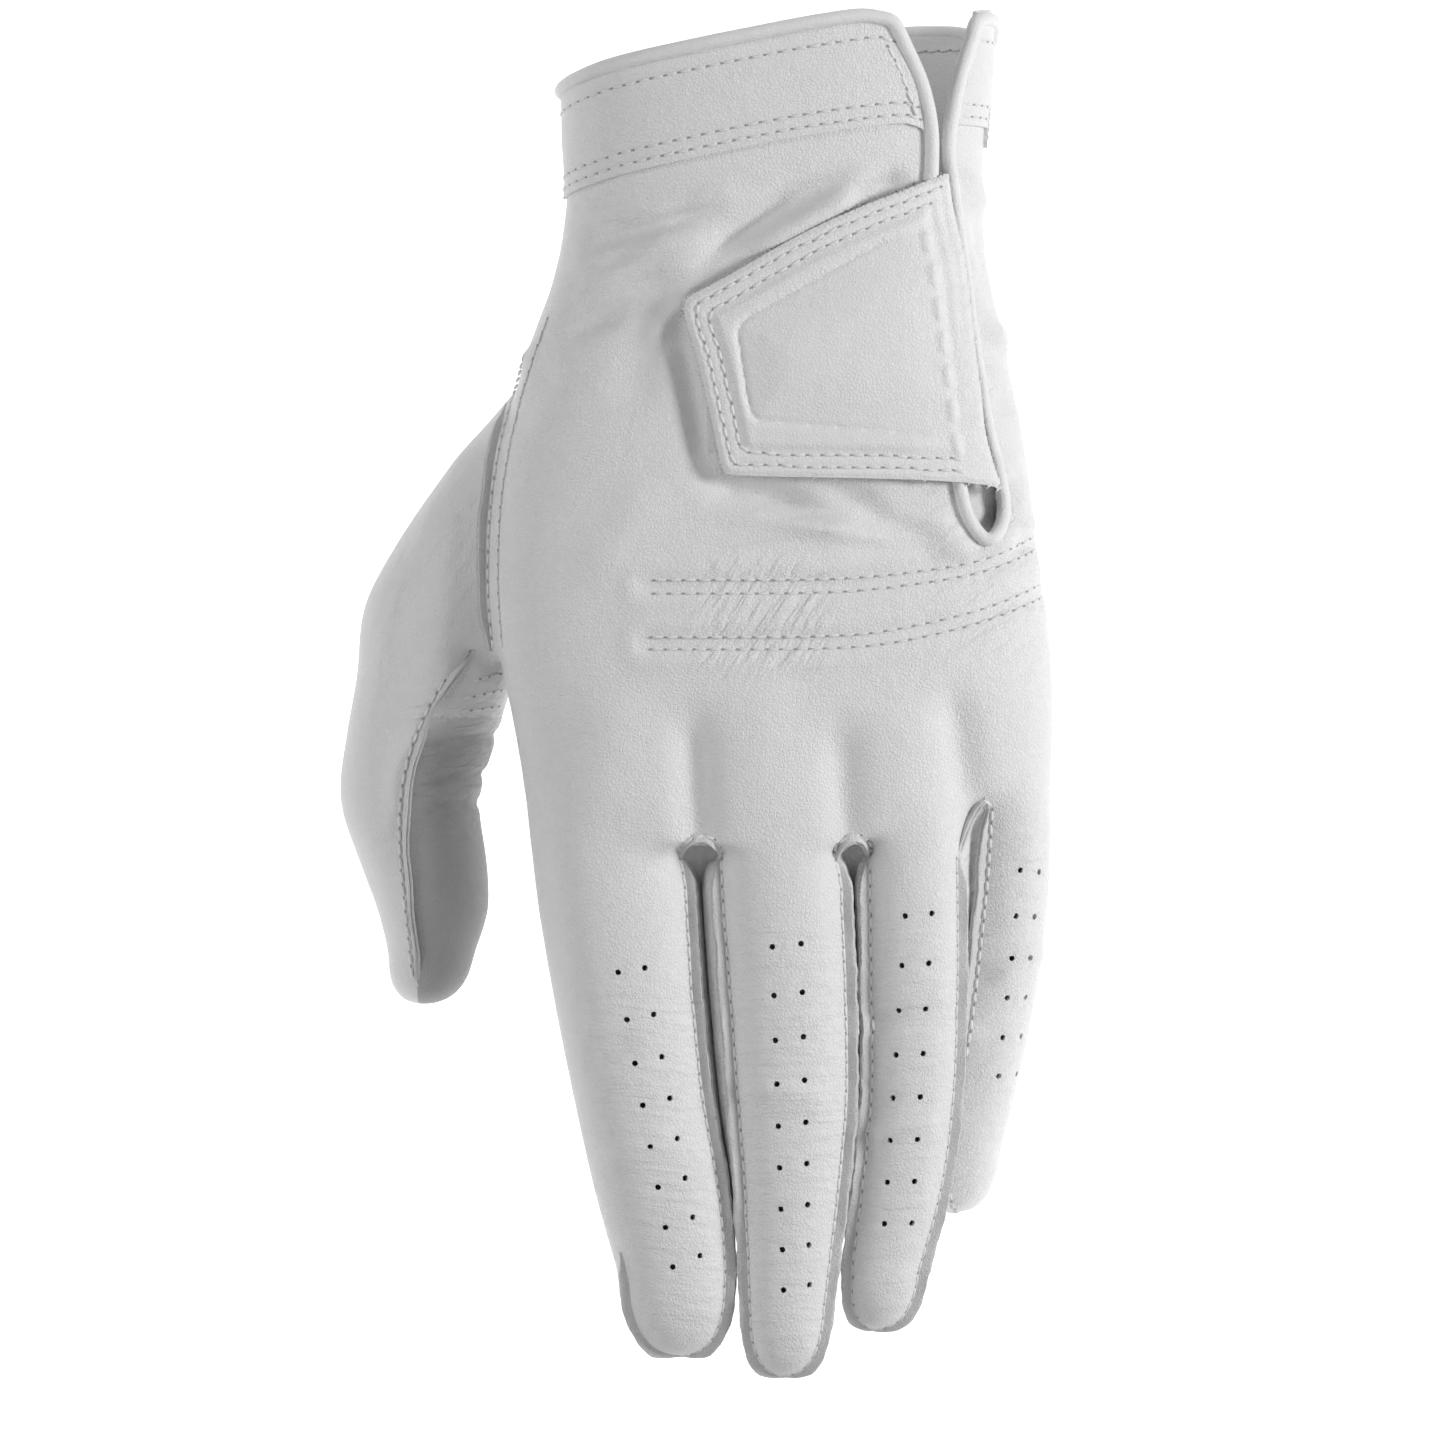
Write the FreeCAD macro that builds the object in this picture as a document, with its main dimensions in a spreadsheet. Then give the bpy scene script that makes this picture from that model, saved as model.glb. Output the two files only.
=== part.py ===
"""Golf glove for the left hand, as a parametric FreeCAD document.

The glove hangs from its wrist opening with the fingers down. +X points to the
little finger, -Y is the back of the hand, +Y is the palm and +Z is the wrist.
The origin is the middle of the wrist opening. All sizes are in millimetres and
degrees. They live in the spreadsheet Sizes, and every object is bound to it.

The hand is a loft through ovals in planes that slant across the glove, as its
cuff and its knuckle line do. What lies on it or in it, such as the cuff band,
the bindings, the elastics and the closure tab, is a layer between two offsets
of that loft, trimmed by a prism along Y. Each finger, and the thumb beyond its
crease, is a tapered tube with a round end. Its leather panels are sectors of
one turned profile that share their seams.
"""

import FreeCAD
import Part

import os

import Sketcher
from FreeCAD import Placement, Rotation, Vector

SIZES = {
    # leather, slant of the cuff and knuckle lines, and clearances
    "leather": 0.8,
    "slant": 6.0,
    "joint_gap": 0.5,
    "root_overlap": 6.0,
    "rest_gap": 0.35,
    "beyond": 150.0,
    # ovals of the hand: level below the wrist opening, middle, width and depth
    "cuff_level": 0.0,
    "cuff_middle": -0.4,
    "cuff_width": 70.4,
    "cuff_depth": 38.0,
    "wrist_level": 20.0,
    "wrist_middle": -0.7,
    "wrist_width": 70.8,
    "wrist_depth": 36.0,
    "heel_level": 46.0,
    "heel_middle": -3.4,
    "heel_width": 80.0,
    "heel_depth": 37.0,
    "palm_level": 76.0,
    "palm_middle": -3.0,
    "palm_width": 91.6,
    "palm_depth": 38.0,
    "web_level": 98.0,
    "web_middle": -0.8,
    "web_width": 91.8,
    "web_depth": 36.5,
    "ball_level": 114.0,
    "ball_middle": 1.6,
    "ball_width": 89.0,
    "ball_depth": 34.5,
    "knuckle_level": 129.0,
    "knuckle_middle": 3.4,
    "knuckle_width": 85.6,
    "knuckle_depth": 32.5,
    # fingers: root, length, radii, lean towards the thumb, curl to the palm and turn
    "index_root_x": -27.0,
    "index_root_y": 0.0,
    "index_length": 79.5,
    "index_root_radius": 12.6,
    "index_end_radius": 9.3,
    "index_lean": -7.2,
    "index_curl": 5.0,
    "index_turn": 0.0,
    "middle_root_x": 0.0,
    "middle_root_y": -1.0,
    "middle_length": 87.0,
    "middle_root_radius": 11.0,
    "middle_end_radius": 8.4,
    "middle_lean": -0.8,
    "middle_curl": 5.0,
    "middle_turn": 0.0,
    "ring_root_x": 22.6,
    "ring_root_y": 0.0,
    "ring_length": 82.5,
    "ring_root_radius": 8.7,
    "ring_end_radius": 7.5,
    "ring_lean": 3.4,
    "ring_curl": 4.0,
    "ring_turn": 0.0,
    "little_root_x": 38.2,
    "little_root_y": 6.0,
    "little_length": 66.5,
    "little_root_radius": 6.8,
    "little_end_radius": 6.4,
    "little_lean": 7.0,
    "little_curl": 14.0,
    "little_turn": 35.0,
    "wall_sweep": 54.0,
    # thumb: circles of its base, from inside the hand to the crease
    "thumb_inner_level": 52.0,
    "thumb_inner_x": -33.0,
    "thumb_inner_y": 8.0,
    "thumb_inner_radius": 9.5,
    "thumb_heel_level": 70.0,
    "thumb_heel_x": -44.4,
    "thumb_heel_y": 9.5,
    "thumb_heel_radius": 12.6,
    "thumb_ball_level": 87.0,
    "thumb_ball_x": -54.0,
    "thumb_ball_y": 11.0,
    "thumb_ball_radius": 13.8,
    "thumb_crease_level": 111.0,
    "thumb_crease_x": -59.6,
    "thumb_crease_y": 13.0,
    "thumb_crease_radius": 12.6,
    # thumb beyond its crease
    "thumb_length": 44.8,
    "thumb_end_radius": 9.0,
    "thumb_lean": -1.5,
    "thumb_curl": 5.0,
    "thumb_turn": 0.0,
    # cuff: binding, band and what is sewn inside
    "binding_height": 3.2,
    "binding_proud": 1.2,
    "binding_inside": 2.0,
    "band_height": 16.0,
    "band_leather": 0.7,
    "elastic_thickness": 0.8,
    "wrist_elastic_level": 22.5,
    "wrist_elastic_height": 20.5,
    "wrist_elastic_reach": 31.0,
    "label_level": 6.0,
    "label_height": 13.0,
    "label_width": 18.0,
    # knuckle elastics inside the back
    "knuckle_elastic_level": 86.5,
    "knuckle_elastic_step": 8.6,
    "knuckle_elastic_height": 3.4,
    "knuckle_elastic_left": -20.6,
    "knuckle_elastic_right": 38.0,
    # wrist slit in the back
    "slit_top_x": 25.0,
    "slit_mouth": 7.0,
    "slit_throat_x": 24.6,
    "slit_throat_level": 19.0,
    "slit_end_x": 33.0,
    "slit_length": 79.0,
    "slit_gap": 2.4,
    "slit_binding": 2.0,
    # closure tab: corners on the back of the hand, layers and raised frame
    "tab_root_top_x": 28.2,
    "tab_root_top_z": -19.4,
    "tab_root_low_x": 37.0,
    "tab_root_low_z": -71.0,
    "tab_nose_top_x": -15.4,
    "tab_nose_top_z": -40.2,
    "tab_nose_low_x": -9.4,
    "tab_nose_low_z": -67.4,
    "tab_corner": 3.0,
    "tab_lining": 0.6,
    "tab_core": 0.9,
    "tab_leather": 0.8,
    "tab_core_inset": 3.8,
    "tab_frame_inset": 6.4,
    "tab_frame_width": 2.6,
    "tab_frame_height": 0.5,
    "patch_thickness": 0.7,
    "patch_inset": 5.0,
    # sewing thread
    "stitch_length": 1.9,
    "stitch_pitch": 2.9,
    "stitch_width": 0.6,
    "stitch_height": 0.3,
    "row_gap": 2.2,
    "tab_row_inset": 1.3,
    "cuff_row_reach": 31.5,
    "side_seam_inset": 3.2,
}

FINGERS = ("index", "middle", "ring", "little")
HAND_OVALS = ("cuff", "wrist", "heel", "palm", "web", "ball", "knuckle")
THUMB_CIRCLES = ("inner", "heel", "ball", "crease")

doc = FreeCAD.newDocument("golf_glove")
sheet = doc.addObject("Spreadsheet::Sheet", "Sizes")
for row, (alias, value) in enumerate(SIZES.items(), start=1):
    sheet.set(f"A{row}", alias)
    sheet.set(f"B{row}", str(value))
    sheet.setAlias(f"B{row}", alias)
doc.recompute()


def size(alias):
    """A value of the spreadsheet as a plain number."""
    return float(sheet.get(alias))


def make(kind, name, bound=None, **settings):
    """A document object with its plain properties set and its sizes bound to the sheet."""
    made = doc.addObject(kind, name)
    for key, value in settings.items():
        setattr(made, key, value)
    for path, expression in (bound or {}).items():
        made.setExpression(path, expression)
    return made


def cut(name, base, tool):
    return make("Part::Cut", name, Base=base, Tool=tool)


def common(name, base, tool):
    return make("Part::Common", name, Base=base, Tool=tool)


def loft(name, sections):
    return make("Part::Loft", name, Sections=sections, Solid=True)


# ---------------------------------------------------------------- slanted planes and boxes

RISE = "tan(Sizes.slant * 1 deg)"
STEEP = "cos(Sizes.slant * 1 deg)"


LOW, HIGH = "-Sizes.beyond", "Sizes.beyond"


def slab(name, top, bottom, left=LOW, right=HIGH, near=LOW, far=HIGH):
    """What lies between two slanted levels, given as distances below the wrist opening."""
    return make(
        "Part::Box",
        name,
        {
            "Length": f"({right} - ({left})) / {STEEP}",
            "Width": f"{far} - ({near})",
            "Height": f"({bottom} - ({top})) * {STEEP}",
            "Placement": f"placement(vector({left}; {near}; ({left}) * {RISE} - ({bottom}));"
            " rotation(0; -Sizes.slant; 0))",
        },
    )


def half_space(name, near, far):
    """Everything between two values of y."""
    return slab(name, LOW, "2 * Sizes.beyond", near=near, far=far)


# ---------------------------------------------------------------- outlines over the back of the hand


def outline(name, corners):
    """A closed sketch in the XZ plane whose corners are bound to pairs of expressions."""
    sketch = doc.addObject("Sketcher::SketchObject", name)
    sketch.Placement = Placement(Vector(), Rotation(Vector(1, 0, 0), 90))
    count = len(corners)
    places = [Vector(sheet.evalExpression(x), sheet.evalExpression(z), 0) for x, z in corners]
    for i in range(count):
        sketch.addGeometry(Part.LineSegment(places[i], places[(i + 1) % count]))
    for i in range(count):
        sketch.addConstraint(Sketcher.Constraint("Coincident", i, 2, (i + 1) % count, 1))
    for i, pair in enumerate(corners):
        for kind, expression, value in zip(("DistanceX", "DistanceY"), pair, places[i][:2]):
            number = sketch.addConstraint(Sketcher.Constraint(kind, -1, 1, i, 1, value))
            sketch.setExpression(f"Constraints[{number}]", expression)
    return sketch


def offset_outline(name, source, distance, round_corners=False):
    """A flat outline moved outwards, or inwards where the distance is negative."""
    return make("Part::Offset2D", name, {"Value": distance}, Source=source, Join=0 if round_corners else 2)


def over_back(name, source):
    """A prism from the middle of the hand out through its back."""
    return make(
        "Part::Extrusion",
        name,
        {"LengthFwd": "Sizes.beyond"},
        Base=source,
        DirMode="Custom",
        Dir=Vector(0, -1, 0),
        Solid=True,
    )


# ---------------------------------------------------------------- the hand's form

forms = {}


def hand_form(offset="0"):
    """The hand's loft, grown by an expression. Each offset is made once."""
    if offset not in forms:
        ovals = []
        for oval in HAND_OVALS:
            middle = f"Sizes.{oval}_middle"
            ovals.append(
                make(
                    "Part::Ellipse",
                    f"{oval}_oval",
                    {
                        "MajorRadius": f"Sizes.{oval}_width / 2 + ({offset})",
                        "MinorRadius": f"Sizes.{oval}_depth / 2 + ({offset})",
                        "Placement": f"placement(vector({middle}; 0; {middle} * {RISE} - Sizes.{oval}_level);"
                        " rotation(0; -Sizes.slant; 0))",
                    },
                    MajorRadius=2 * size("beyond"),
                )
            )
        forms[offset] = loft("hand_form", ovals)
    return forms[offset]


def layer(name, inner, outer, trim):
    """The part of the skin between two offsets of the hand that lies inside a trimming solid."""
    return cut(name, common(name + "_outside", hand_form(outer), trim), hand_form(inner))


def slit_prism(name, grow):
    """The slit's room through the back, grown by an expression."""
    corners = [
        ("Sizes.slit_top_x - Sizes.slit_mouth / 2", "Sizes.binding_height * 3"),
        ("Sizes.slit_top_x + Sizes.slit_mouth / 2", "Sizes.binding_height * 3"),
        ("Sizes.slit_throat_x + Sizes.slit_gap / 2", "-Sizes.slit_throat_level"),
        ("Sizes.slit_end_x + Sizes.slit_gap / 2", "Sizes.slit_gap - Sizes.slit_length"),
        ("Sizes.slit_end_x", "-Sizes.slit_length"),
        ("Sizes.slit_end_x - Sizes.slit_gap / 2", "Sizes.slit_gap - Sizes.slit_length"),
        ("Sizes.slit_throat_x - Sizes.slit_gap / 2", "-Sizes.slit_throat_level"),
    ]
    flat = outline(name + "_outline", corners)
    if grow is not None:
        flat = offset_outline(name + "_grown", flat, grow)
    return over_back(name, flat)


# ---------------------------------------------------------------- panels of the hand

INSIDE = "-Sizes.leather"
BEHIND_LINING = "-Sizes.leather - Sizes.elastic_thickness"


def thumb_base_form(offset="0"):
    """The loft of the thumb's base, from inside the hand to its crease."""
    circles = []
    for part in THUMB_CIRCLES:
        at = f"Sizes.thumb_{part}"
        circles.append(
            make(
                "Part::Circle",
                f"thumb_{part}_circle",
                {
                    "Radius": f"{at}_radius + ({offset})",
                    "Placement": f"placement(vector({at}_x; {at}_y; -{at}_level); rotation(0; 0; 0))",
                },
            )
        )
    return loft("thumb_base_form", circles)


def hand_panels():
    """The back and the palm, with the thumb's hole and room for the bindings."""
    below = slab("below_binding", "Sizes.binding_height", "2 * Sizes.beyond")
    skin = layer("hand_skin", INSIDE, "0", below)
    skin = cut("hand_skin_with_thumb_hole", skin, thumb_base_form())
    back = common("back_skin", skin, half_space("back_side", LOW, "0"))
    palm = common("palm_panel", skin, half_space("palm_side", "0", HIGH))
    slit = slit_prism("slit_and_bindings", "Sizes.slit_binding")
    return {"back_panel": cut("back_panel", back, slit), "palm_panel": palm}


def thumb_base_panel():
    """The sleeve that joins the thumb to the hand, down to the thumb's crease."""
    outside = cut("thumb_base_outside", thumb_base_form(), hand_form())
    return {"thumb_base_panel": cut("thumb_base_panel", outside, thumb_base_form(INSIDE))}


def cuff():
    """The band over the wrist, the rolled binding on its edge and the blank label inside."""
    top = "Sizes.binding_height"
    slit = slit_prism("slit_through_cuff", "Sizes.slit_binding")
    ring = slab("band_ring", top, f"{top} + Sizes.band_height")
    band = layer("band_skin", "0", "Sizes.band_leather", ring)
    edge = slab("binding_ring", "0", top)
    roll = layer("binding_skin", "-Sizes.binding_inside", "Sizes.binding_proud", edge)
    patch = slab(
        "label_place",
        "Sizes.label_level",
        "Sizes.label_level + Sizes.label_height",
        "-Sizes.label_width / 2",
        "Sizes.label_width / 2",
        near="0",
    )
    return {
        "cuff_band": cut("cuff_band", band, slit),
        "cuff_binding": cut("cuff_binding", roll, slit),
        "size_label": layer("size_label", BEHIND_LINING, INSIDE, patch),
    }


def slit_binding():
    """The rolled binding on both lips of the slit and round its end."""
    whole = slit_prism("slit_binding_outside", "Sizes.slit_binding")
    below = slab("slit_below_binding", "0", "2 * Sizes.beyond")
    strip = common("slit_binding_strip", whole, below)
    rim = layer("slit_rim", "-Sizes.binding_inside", "Sizes.band_leather", strip)
    return {"slit_binding": cut("slit_binding", rim, slit_prism("slit_opening", None))}


def elastics():
    """The elastic inside the palm side of the wrist and the two inside the back."""
    top, reach = "Sizes.wrist_elastic_level", "Sizes.wrist_elastic_reach"
    low = f"{top} + Sizes.wrist_elastic_height"
    place = slab("wrist_elastic_place", top, low, f"-{reach}", reach, near="0")
    made = {"wrist_elastic": layer("wrist_elastic", BEHIND_LINING, INSIDE, place)}
    for number, name in enumerate(("upper_knuckle_elastic", "lower_knuckle_elastic")):
        top = f"Sizes.knuckle_elastic_level + {number} * Sizes.knuckle_elastic_step"
        place = slab(
            name + "_place",
            top,
            f"{top} + Sizes.knuckle_elastic_height",
            "Sizes.knuckle_elastic_left",
            "Sizes.knuckle_elastic_right",
            far="0",
        )
        made[name] = layer(name, BEHIND_LINING, INSIDE, place)
    return made


def fourchette_crotches():
    """The turns of the fourchettes between neighbouring fingers, which close the hand's end."""
    level = "Sizes.knuckle_level"
    ends = ("Sizes.index_root_x", "Sizes.little_root_x")
    reach = slab("crotch_reach", f"{level} - Sizes.leather", level, *ends)
    made = common("crotch_plate", hand_form(INSIDE), reach)
    for finger in FINGERS:
        at = f"Sizes.{finger}_root"
        below = f"{at}_x * {RISE} - {level} - 2 * Sizes.leather"
        hole = make(
            "Part::Cylinder",
            f"{finger}_root_hole",
            {
                "Radius": f"{at}_radius",
                "Height": "4 * Sizes.leather",
                "Placement": f"placement(vector({at}_x; {at}_y; {below}); rotation(0; -Sizes.slant; 0))",
            },
        )
        made = cut("fourchette_crotches", made, hole)
    return {"fourchette_crotches": made}


# ---------------------------------------------------------------- closure tab

# What is stacked on the back panel, from the loop patch up, as expressions for each layer's top.
LOOP_TOP = "Sizes.patch_thickness"
HOOK_LOW = f"{LOOP_TOP} + Sizes.rest_gap"
LINING_LOW = f"{HOOK_LOW} + Sizes.patch_thickness"
CORE_LOW = f"{LINING_LOW} + Sizes.tab_lining"
COVER_LOW = f"{CORE_LOW} + Sizes.tab_core"
COVER_TOP = f"{COVER_LOW} + Sizes.tab_leather"
FRAME_TOP = f"{COVER_TOP} + Sizes.tab_frame_height"


def tab_outline(name, inset=None):
    """The tab's outline with rounded corners, moved inwards by an expression."""
    corners = [
        (f"Sizes.tab_{corner}_x", f"Sizes.tab_{corner}_z")
        for corner in ("root_top", "root_low", "nose_low", "nose_top")
    ]
    flat = outline(name + "_corners", corners)
    shrink = "-Sizes.tab_corner" if inset is None else f"-Sizes.tab_corner - {inset}"
    flat = offset_outline(name + "_shrunk", flat, shrink)
    return offset_outline(name + "_outline", flat, "Sizes.tab_corner", round_corners=True)


def tab_prism(name, inset=None):
    return over_back(name + "_prism", tab_outline(name, inset))


def closure_tab():
    """The tab's layers and the hook and loop patches that close it."""
    lining = layer("tab_lining", LINING_LOW, CORE_LOW, tab_prism("lining"))
    core = layer("tab_core", CORE_LOW, COVER_LOW, tab_prism("core", "Sizes.tab_core_inset"))
    cover = layer("cover_block", CORE_LOW, COVER_TOP, tab_prism("cover"))
    room = common("core_room", hand_form(COVER_LOW), tab_prism("core_room", "Sizes.tab_core_inset"))
    frame = layer("frame_block", COVER_TOP, FRAME_TOP, tab_prism("frame", "Sizes.tab_frame_inset"))
    window = tab_prism("frame_window", "Sizes.tab_frame_inset - Sizes.tab_frame_width")
    hook = layer("hook_patch", HOOK_LOW, LINING_LOW, tab_prism("hook", "Sizes.patch_inset"))
    loop = layer("loop_block", "0", LOOP_TOP, tab_prism("loop", "Sizes.patch_inset"))
    around_slit = slit_prism("slit_beside_loop", "Sizes.slit_binding + Sizes.rest_gap")
    return {
        "tab_lining": lining,
        "tab_core": core,
        "tab_cover": cut("tab_cover", cover, room),
        "tab_frame": cut("tab_frame", frame, window),
        "hook_patch": hook,
        "loop_patch": cut("loop_patch", loop, around_slit),
    }


# ---------------------------------------------------------------- fingers and thumb


def tube_profile(body, name, root, end, length):
    """Half of a tapered tube's wall with a round closed end, for turning about the sketch's V axis.

    The wall starts above the sketch's origin by the overlap that the joint's plane cuts away.
    """
    sketch = body.newObject("Sketcher::SketchObject", name + "_profile")
    upright = [f for f in body.Origin.OriginFeatures if f.Role == "XZ_Plane"]
    sketch.AttachmentSupport = [(upright[0], "")]
    sketch.MapMode = "FlatFace"
    middle = f"{end} - {length}"
    corners = [
        (root, "Sizes.root_overlap"),
        (end, middle),
        ("0", f"-({length})"),
        ("0", f"Sizes.leather - ({length})"),
        (f"{end} - Sizes.leather", middle),
        (f"{root} - Sizes.leather", "Sizes.root_overlap"),
    ]
    places = [Vector(sheet.evalExpression(x), sheet.evalExpression(z), 0) for x, z in corners]
    centre = Vector(0, places[1].y, 0)
    quarter = 0.7071
    for i, place in enumerate(places):
        after = places[(i + 1) % len(places)]
        if i in (1, 3):
            radius = max(place.x, after.x)
            between = centre + Vector(radius * quarter, -radius * quarter, 0)
            sketch.addGeometry(Part.Arc(place, between, after))
        else:
            sketch.addGeometry(Part.LineSegment(place, after))
    # An arc's own start is its lower end here, because sketch arcs always run anticlockwise.
    starts = {1: 2, 3: 1}
    ends = {1: 1, 3: 2}
    for i in range(len(corners)):
        after = (i + 1) % len(corners)
        sketch.addConstraint(
            Sketcher.Constraint("Coincident", i, ends.get(i, 2), after, starts.get(after, 1))
        )
    for i, pair in enumerate(corners):
        for kind, expression, value in zip(("DistanceX", "DistanceY"), pair, places[i][:2]):
            number = sketch.addConstraint(
                Sketcher.Constraint(kind, -1, 1, i, starts.get(i, 1), value)
            )
            sketch.setExpression(f"Constraints[{number}]", expression)
    for arc in (1, 3):
        sketch.addConstraint(Sketcher.Constraint("PointOnObject", arc, 3, -2))
    return sketch


def tube_sector(name, limb, root, place, middle, sweep):
    """A sector of a finger's or the thumb's turned wall, in its place."""
    body = doc.addObject("PartDesign::Body", name + "_sector")
    at = f"Sizes.{limb}"
    sketch = tube_profile(body, name, root, f"{at}_end_radius", f"{at}_length")
    turned = body.newObject("PartDesign::Revolution", name + "_turned")
    turned.Profile = sketch
    turned.ReferenceAxis = (sketch, ["V_Axis"])
    turned.Midplane = True
    turned.setExpression("Angle", sweep)
    body.setExpression(
        "Placement",
        f"placement({place}; rotation(0; {at}_lean; {at}_curl)"
        f" * rotation(vector(0; 0; 1); {middle} + {at}_turn))",
    )
    return body


def finger_panels(finger):
    """A finger's back and palm leather, and a side wall wherever it has a neighbour."""
    at = f"Sizes.{finger}_root"
    place = f"vector({at}_x; {at}_y; {at}_x * {RISE} - Sizes.knuckle_level - Sizes.joint_gap)"
    below = slab(finger + "_reach", "Sizes.knuckle_level + Sizes.joint_gap", "3 * Sizes.beyond")
    little_side, thumb_side = finger != "little", finger != "index"
    wall = "Sizes.wall_sweep"
    sweep = f"180 - {(little_side + thumb_side) / 2} * {wall}"
    # A wall on one side only pushes the middle of the back and palm panels away from it.
    shift = f"{(little_side - thumb_side) / 4} * {wall}"
    made = {
        f"{finger}_back": (f"-90 - {shift}", sweep),
        f"{finger}_front": (f"90 + {shift}", sweep),
    }
    if thumb_side:
        made[f"{finger}_fourchette_thumb_side"] = ("180", wall)
    if little_side:
        made[f"{finger}_fourchette_little_side"] = ("0", wall)
    return {
        name: common(name, tube_sector(name, finger, f"{at}_radius", place, middle, angle), below)
        for name, (middle, angle) in made.items()
    }


def thumb_panels():
    """The thumb beyond its crease: an outer half and a pad half that meet on the seam."""
    at = "Sizes.thumb_crease"
    top = f"-{at}_level - Sizes.joint_gap"
    place = f"vector({at}_x; {at}_y; {top})"
    below = make(
        "Part::Box",
        "thumb_reach",
        {
            "Length": "2 * Sizes.beyond",
            "Width": "2 * Sizes.beyond",
            "Height": "2 * Sizes.beyond",
            "Placement": f"placement(vector(-Sizes.beyond; -Sizes.beyond; {top} - 2 * Sizes.beyond);"
            " rotation(0; 0; 0))",
        },
    )
    halves = {"thumb_back": "180", "thumb_pad": "0"}
    return {
        name: common(name, tube_sector(name, "thumb", f"{at}_radius", place, middle, "180"), below)
        for name, middle in halves.items()
    }


# ---------------------------------------------------------------- sewing thread


def stitch_prisms(name, paths, side=-1):
    """A small block for each stitch along paths of (x, z) points, out through one side of the hand."""
    blocks = []
    length, width = size("stitch_length"), size("stitch_width")
    for path in paths:
        for start, end in zip(path, path[1:]):
            first, last = Vector(start[0], 0, start[1]), Vector(end[0], 0, end[1])
            along = last - first
            count = max(1, round(along.Length / size("stitch_pitch")))
            turn = Rotation(Vector(1, 0, 0), along)
            for step in range(count):
                corner = Vector(-length / 2, 0 if side > 0 else -size("beyond"), -width / 2)
                block = Part.makeBox(length, size("beyond"), width, corner)
                block.Placement = Placement(first + along * ((step + 0.5) / count), turn)
                blocks.append(block)
    made = doc.addObject("Part::Feature", name)
    made.Shape = Part.makeCompound(blocks)
    return made


def slanted(level, left, right):
    """A straight row across the glove at a slanted level."""
    rise = sheet.evalExpression(RISE)
    return [(x, x * rise - level) for x in (left, right)]


def cuff_stitching():
    """The row under the binding and the two rows at the band's lower edge, on back and palm."""
    top, gap = size("binding_height"), size("row_gap")
    low = top + size("band_height")
    reach = size("cuff_row_reach")
    slit_half = size("slit_mouth") / 2 + size("slit_binding")
    before_slit = size("slit_throat_x") - slit_half - size("stitch_length")
    levels = (top + gap / 2, low - gap / 2, low - 1.5 * gap)
    back = stitch_prisms("cuff_rows_back", [slanted(level, -reach, before_slit) for level in levels])
    palm = stitch_prisms("cuff_rows_palm", [slanted(level, -reach, reach) for level in levels], side=1)
    rows = make("Part::MultiFuse", "cuff_rows", Shapes=[back, palm])
    thread = "Sizes.band_leather + Sizes.stitch_height"
    return {"cuff_stitching": layer("cuff_stitching", "Sizes.band_leather", thread, rows)}


def hand_stitching():
    """Two rows over each knuckle elastic, and two down the side seam by the thumb."""
    left, right = size("knuckle_elastic_left"), size("knuckle_elastic_right")
    rows = []
    for number in range(2):
        level = size("knuckle_elastic_level") + number * size("knuckle_elastic_step")
        spare = (size("knuckle_elastic_height") - size("row_gap")) / 2
        for shift in (spare, spare + size("row_gap")):
            rows.append(slanted(level + shift, left, right))
    knuckles = stitch_prisms("knuckle_rows", rows)
    rise = sheet.evalExpression(RISE)
    seams = []
    for number in range(2):
        seam = []
        for oval in ("heel", "palm", "web"):
            edge = size(oval + "_middle") - size(oval + "_width") / 2
            x = edge + size("side_seam_inset") + number * size("row_gap")
            seam.append((x, x * rise - size(oval + "_level")))
        seams.append(seam)
    side = stitch_prisms("side_seam_rows", seams)
    on_thumb = thumb_base_form()
    return {
        "knuckle_stitching": layer("knuckle_stitching", "0", "Sizes.stitch_height", knuckles),
        "side_seam_stitching": cut(
            "side_seam_stitching", layer("side_seam_thread", "0", "Sizes.stitch_height", side), on_thumb
        ),
    }


def tab_stitching():
    """Two rows along the tab's three free edges."""
    rows = []
    for number in range(2):
        inset = f"Sizes.tab_row_inset + {number} * Sizes.row_gap"
        flat = tab_outline(f"tab_row_{number}", inset)
        doc.recompute()
        straight = [e for e in flat.Shape.Edges if isinstance(e.Curve, Part.Line) and e.Length > 1]
        root = max(straight, key=lambda e: e.CenterOfMass.x)
        for edge in straight:
            if not edge.isSame(root):
                rows.append([(v.X, v.Z) for v in edge.Vertexes])
    prisms = stitch_prisms("tab_rows", rows)
    thread = f"{COVER_TOP} + Sizes.stitch_height"
    return {"tab_stitching": layer("tab_stitching", COVER_TOP, thread, prisms)}


# ---------------------------------------------------------------- build, check and write


def all_parts():
    parts = {}
    groups = (
        hand_panels,
        thumb_base_panel,
        cuff,
        slit_binding,
        elastics,
        fourchette_crotches,
        closure_tab,
        thumb_panels,
        cuff_stitching,
        hand_stitching,
        tab_stitching,
    )
    for group in groups:
        parts.update(group())
    for finger in FINGERS:
        parts.update(finger_panels(finger))
    doc.recompute()
    return parts


def check(parts):
    """Stops the build if any object failed or any sub-part isn't made of sound solids."""
    for made in doc.Objects:
        if "Invalid" in made.State or "Error" in made.State:
            raise RuntimeError(f"{made.Name} failed: {made.State}")
    for node, made in parts.items():
        shape = made.Shape
        if shape.isNull() or not shape.isValid() or not shape.Solids or shape.Volume <= 0:
            raise RuntimeError(f"{node} isn't a sound solid")


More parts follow.
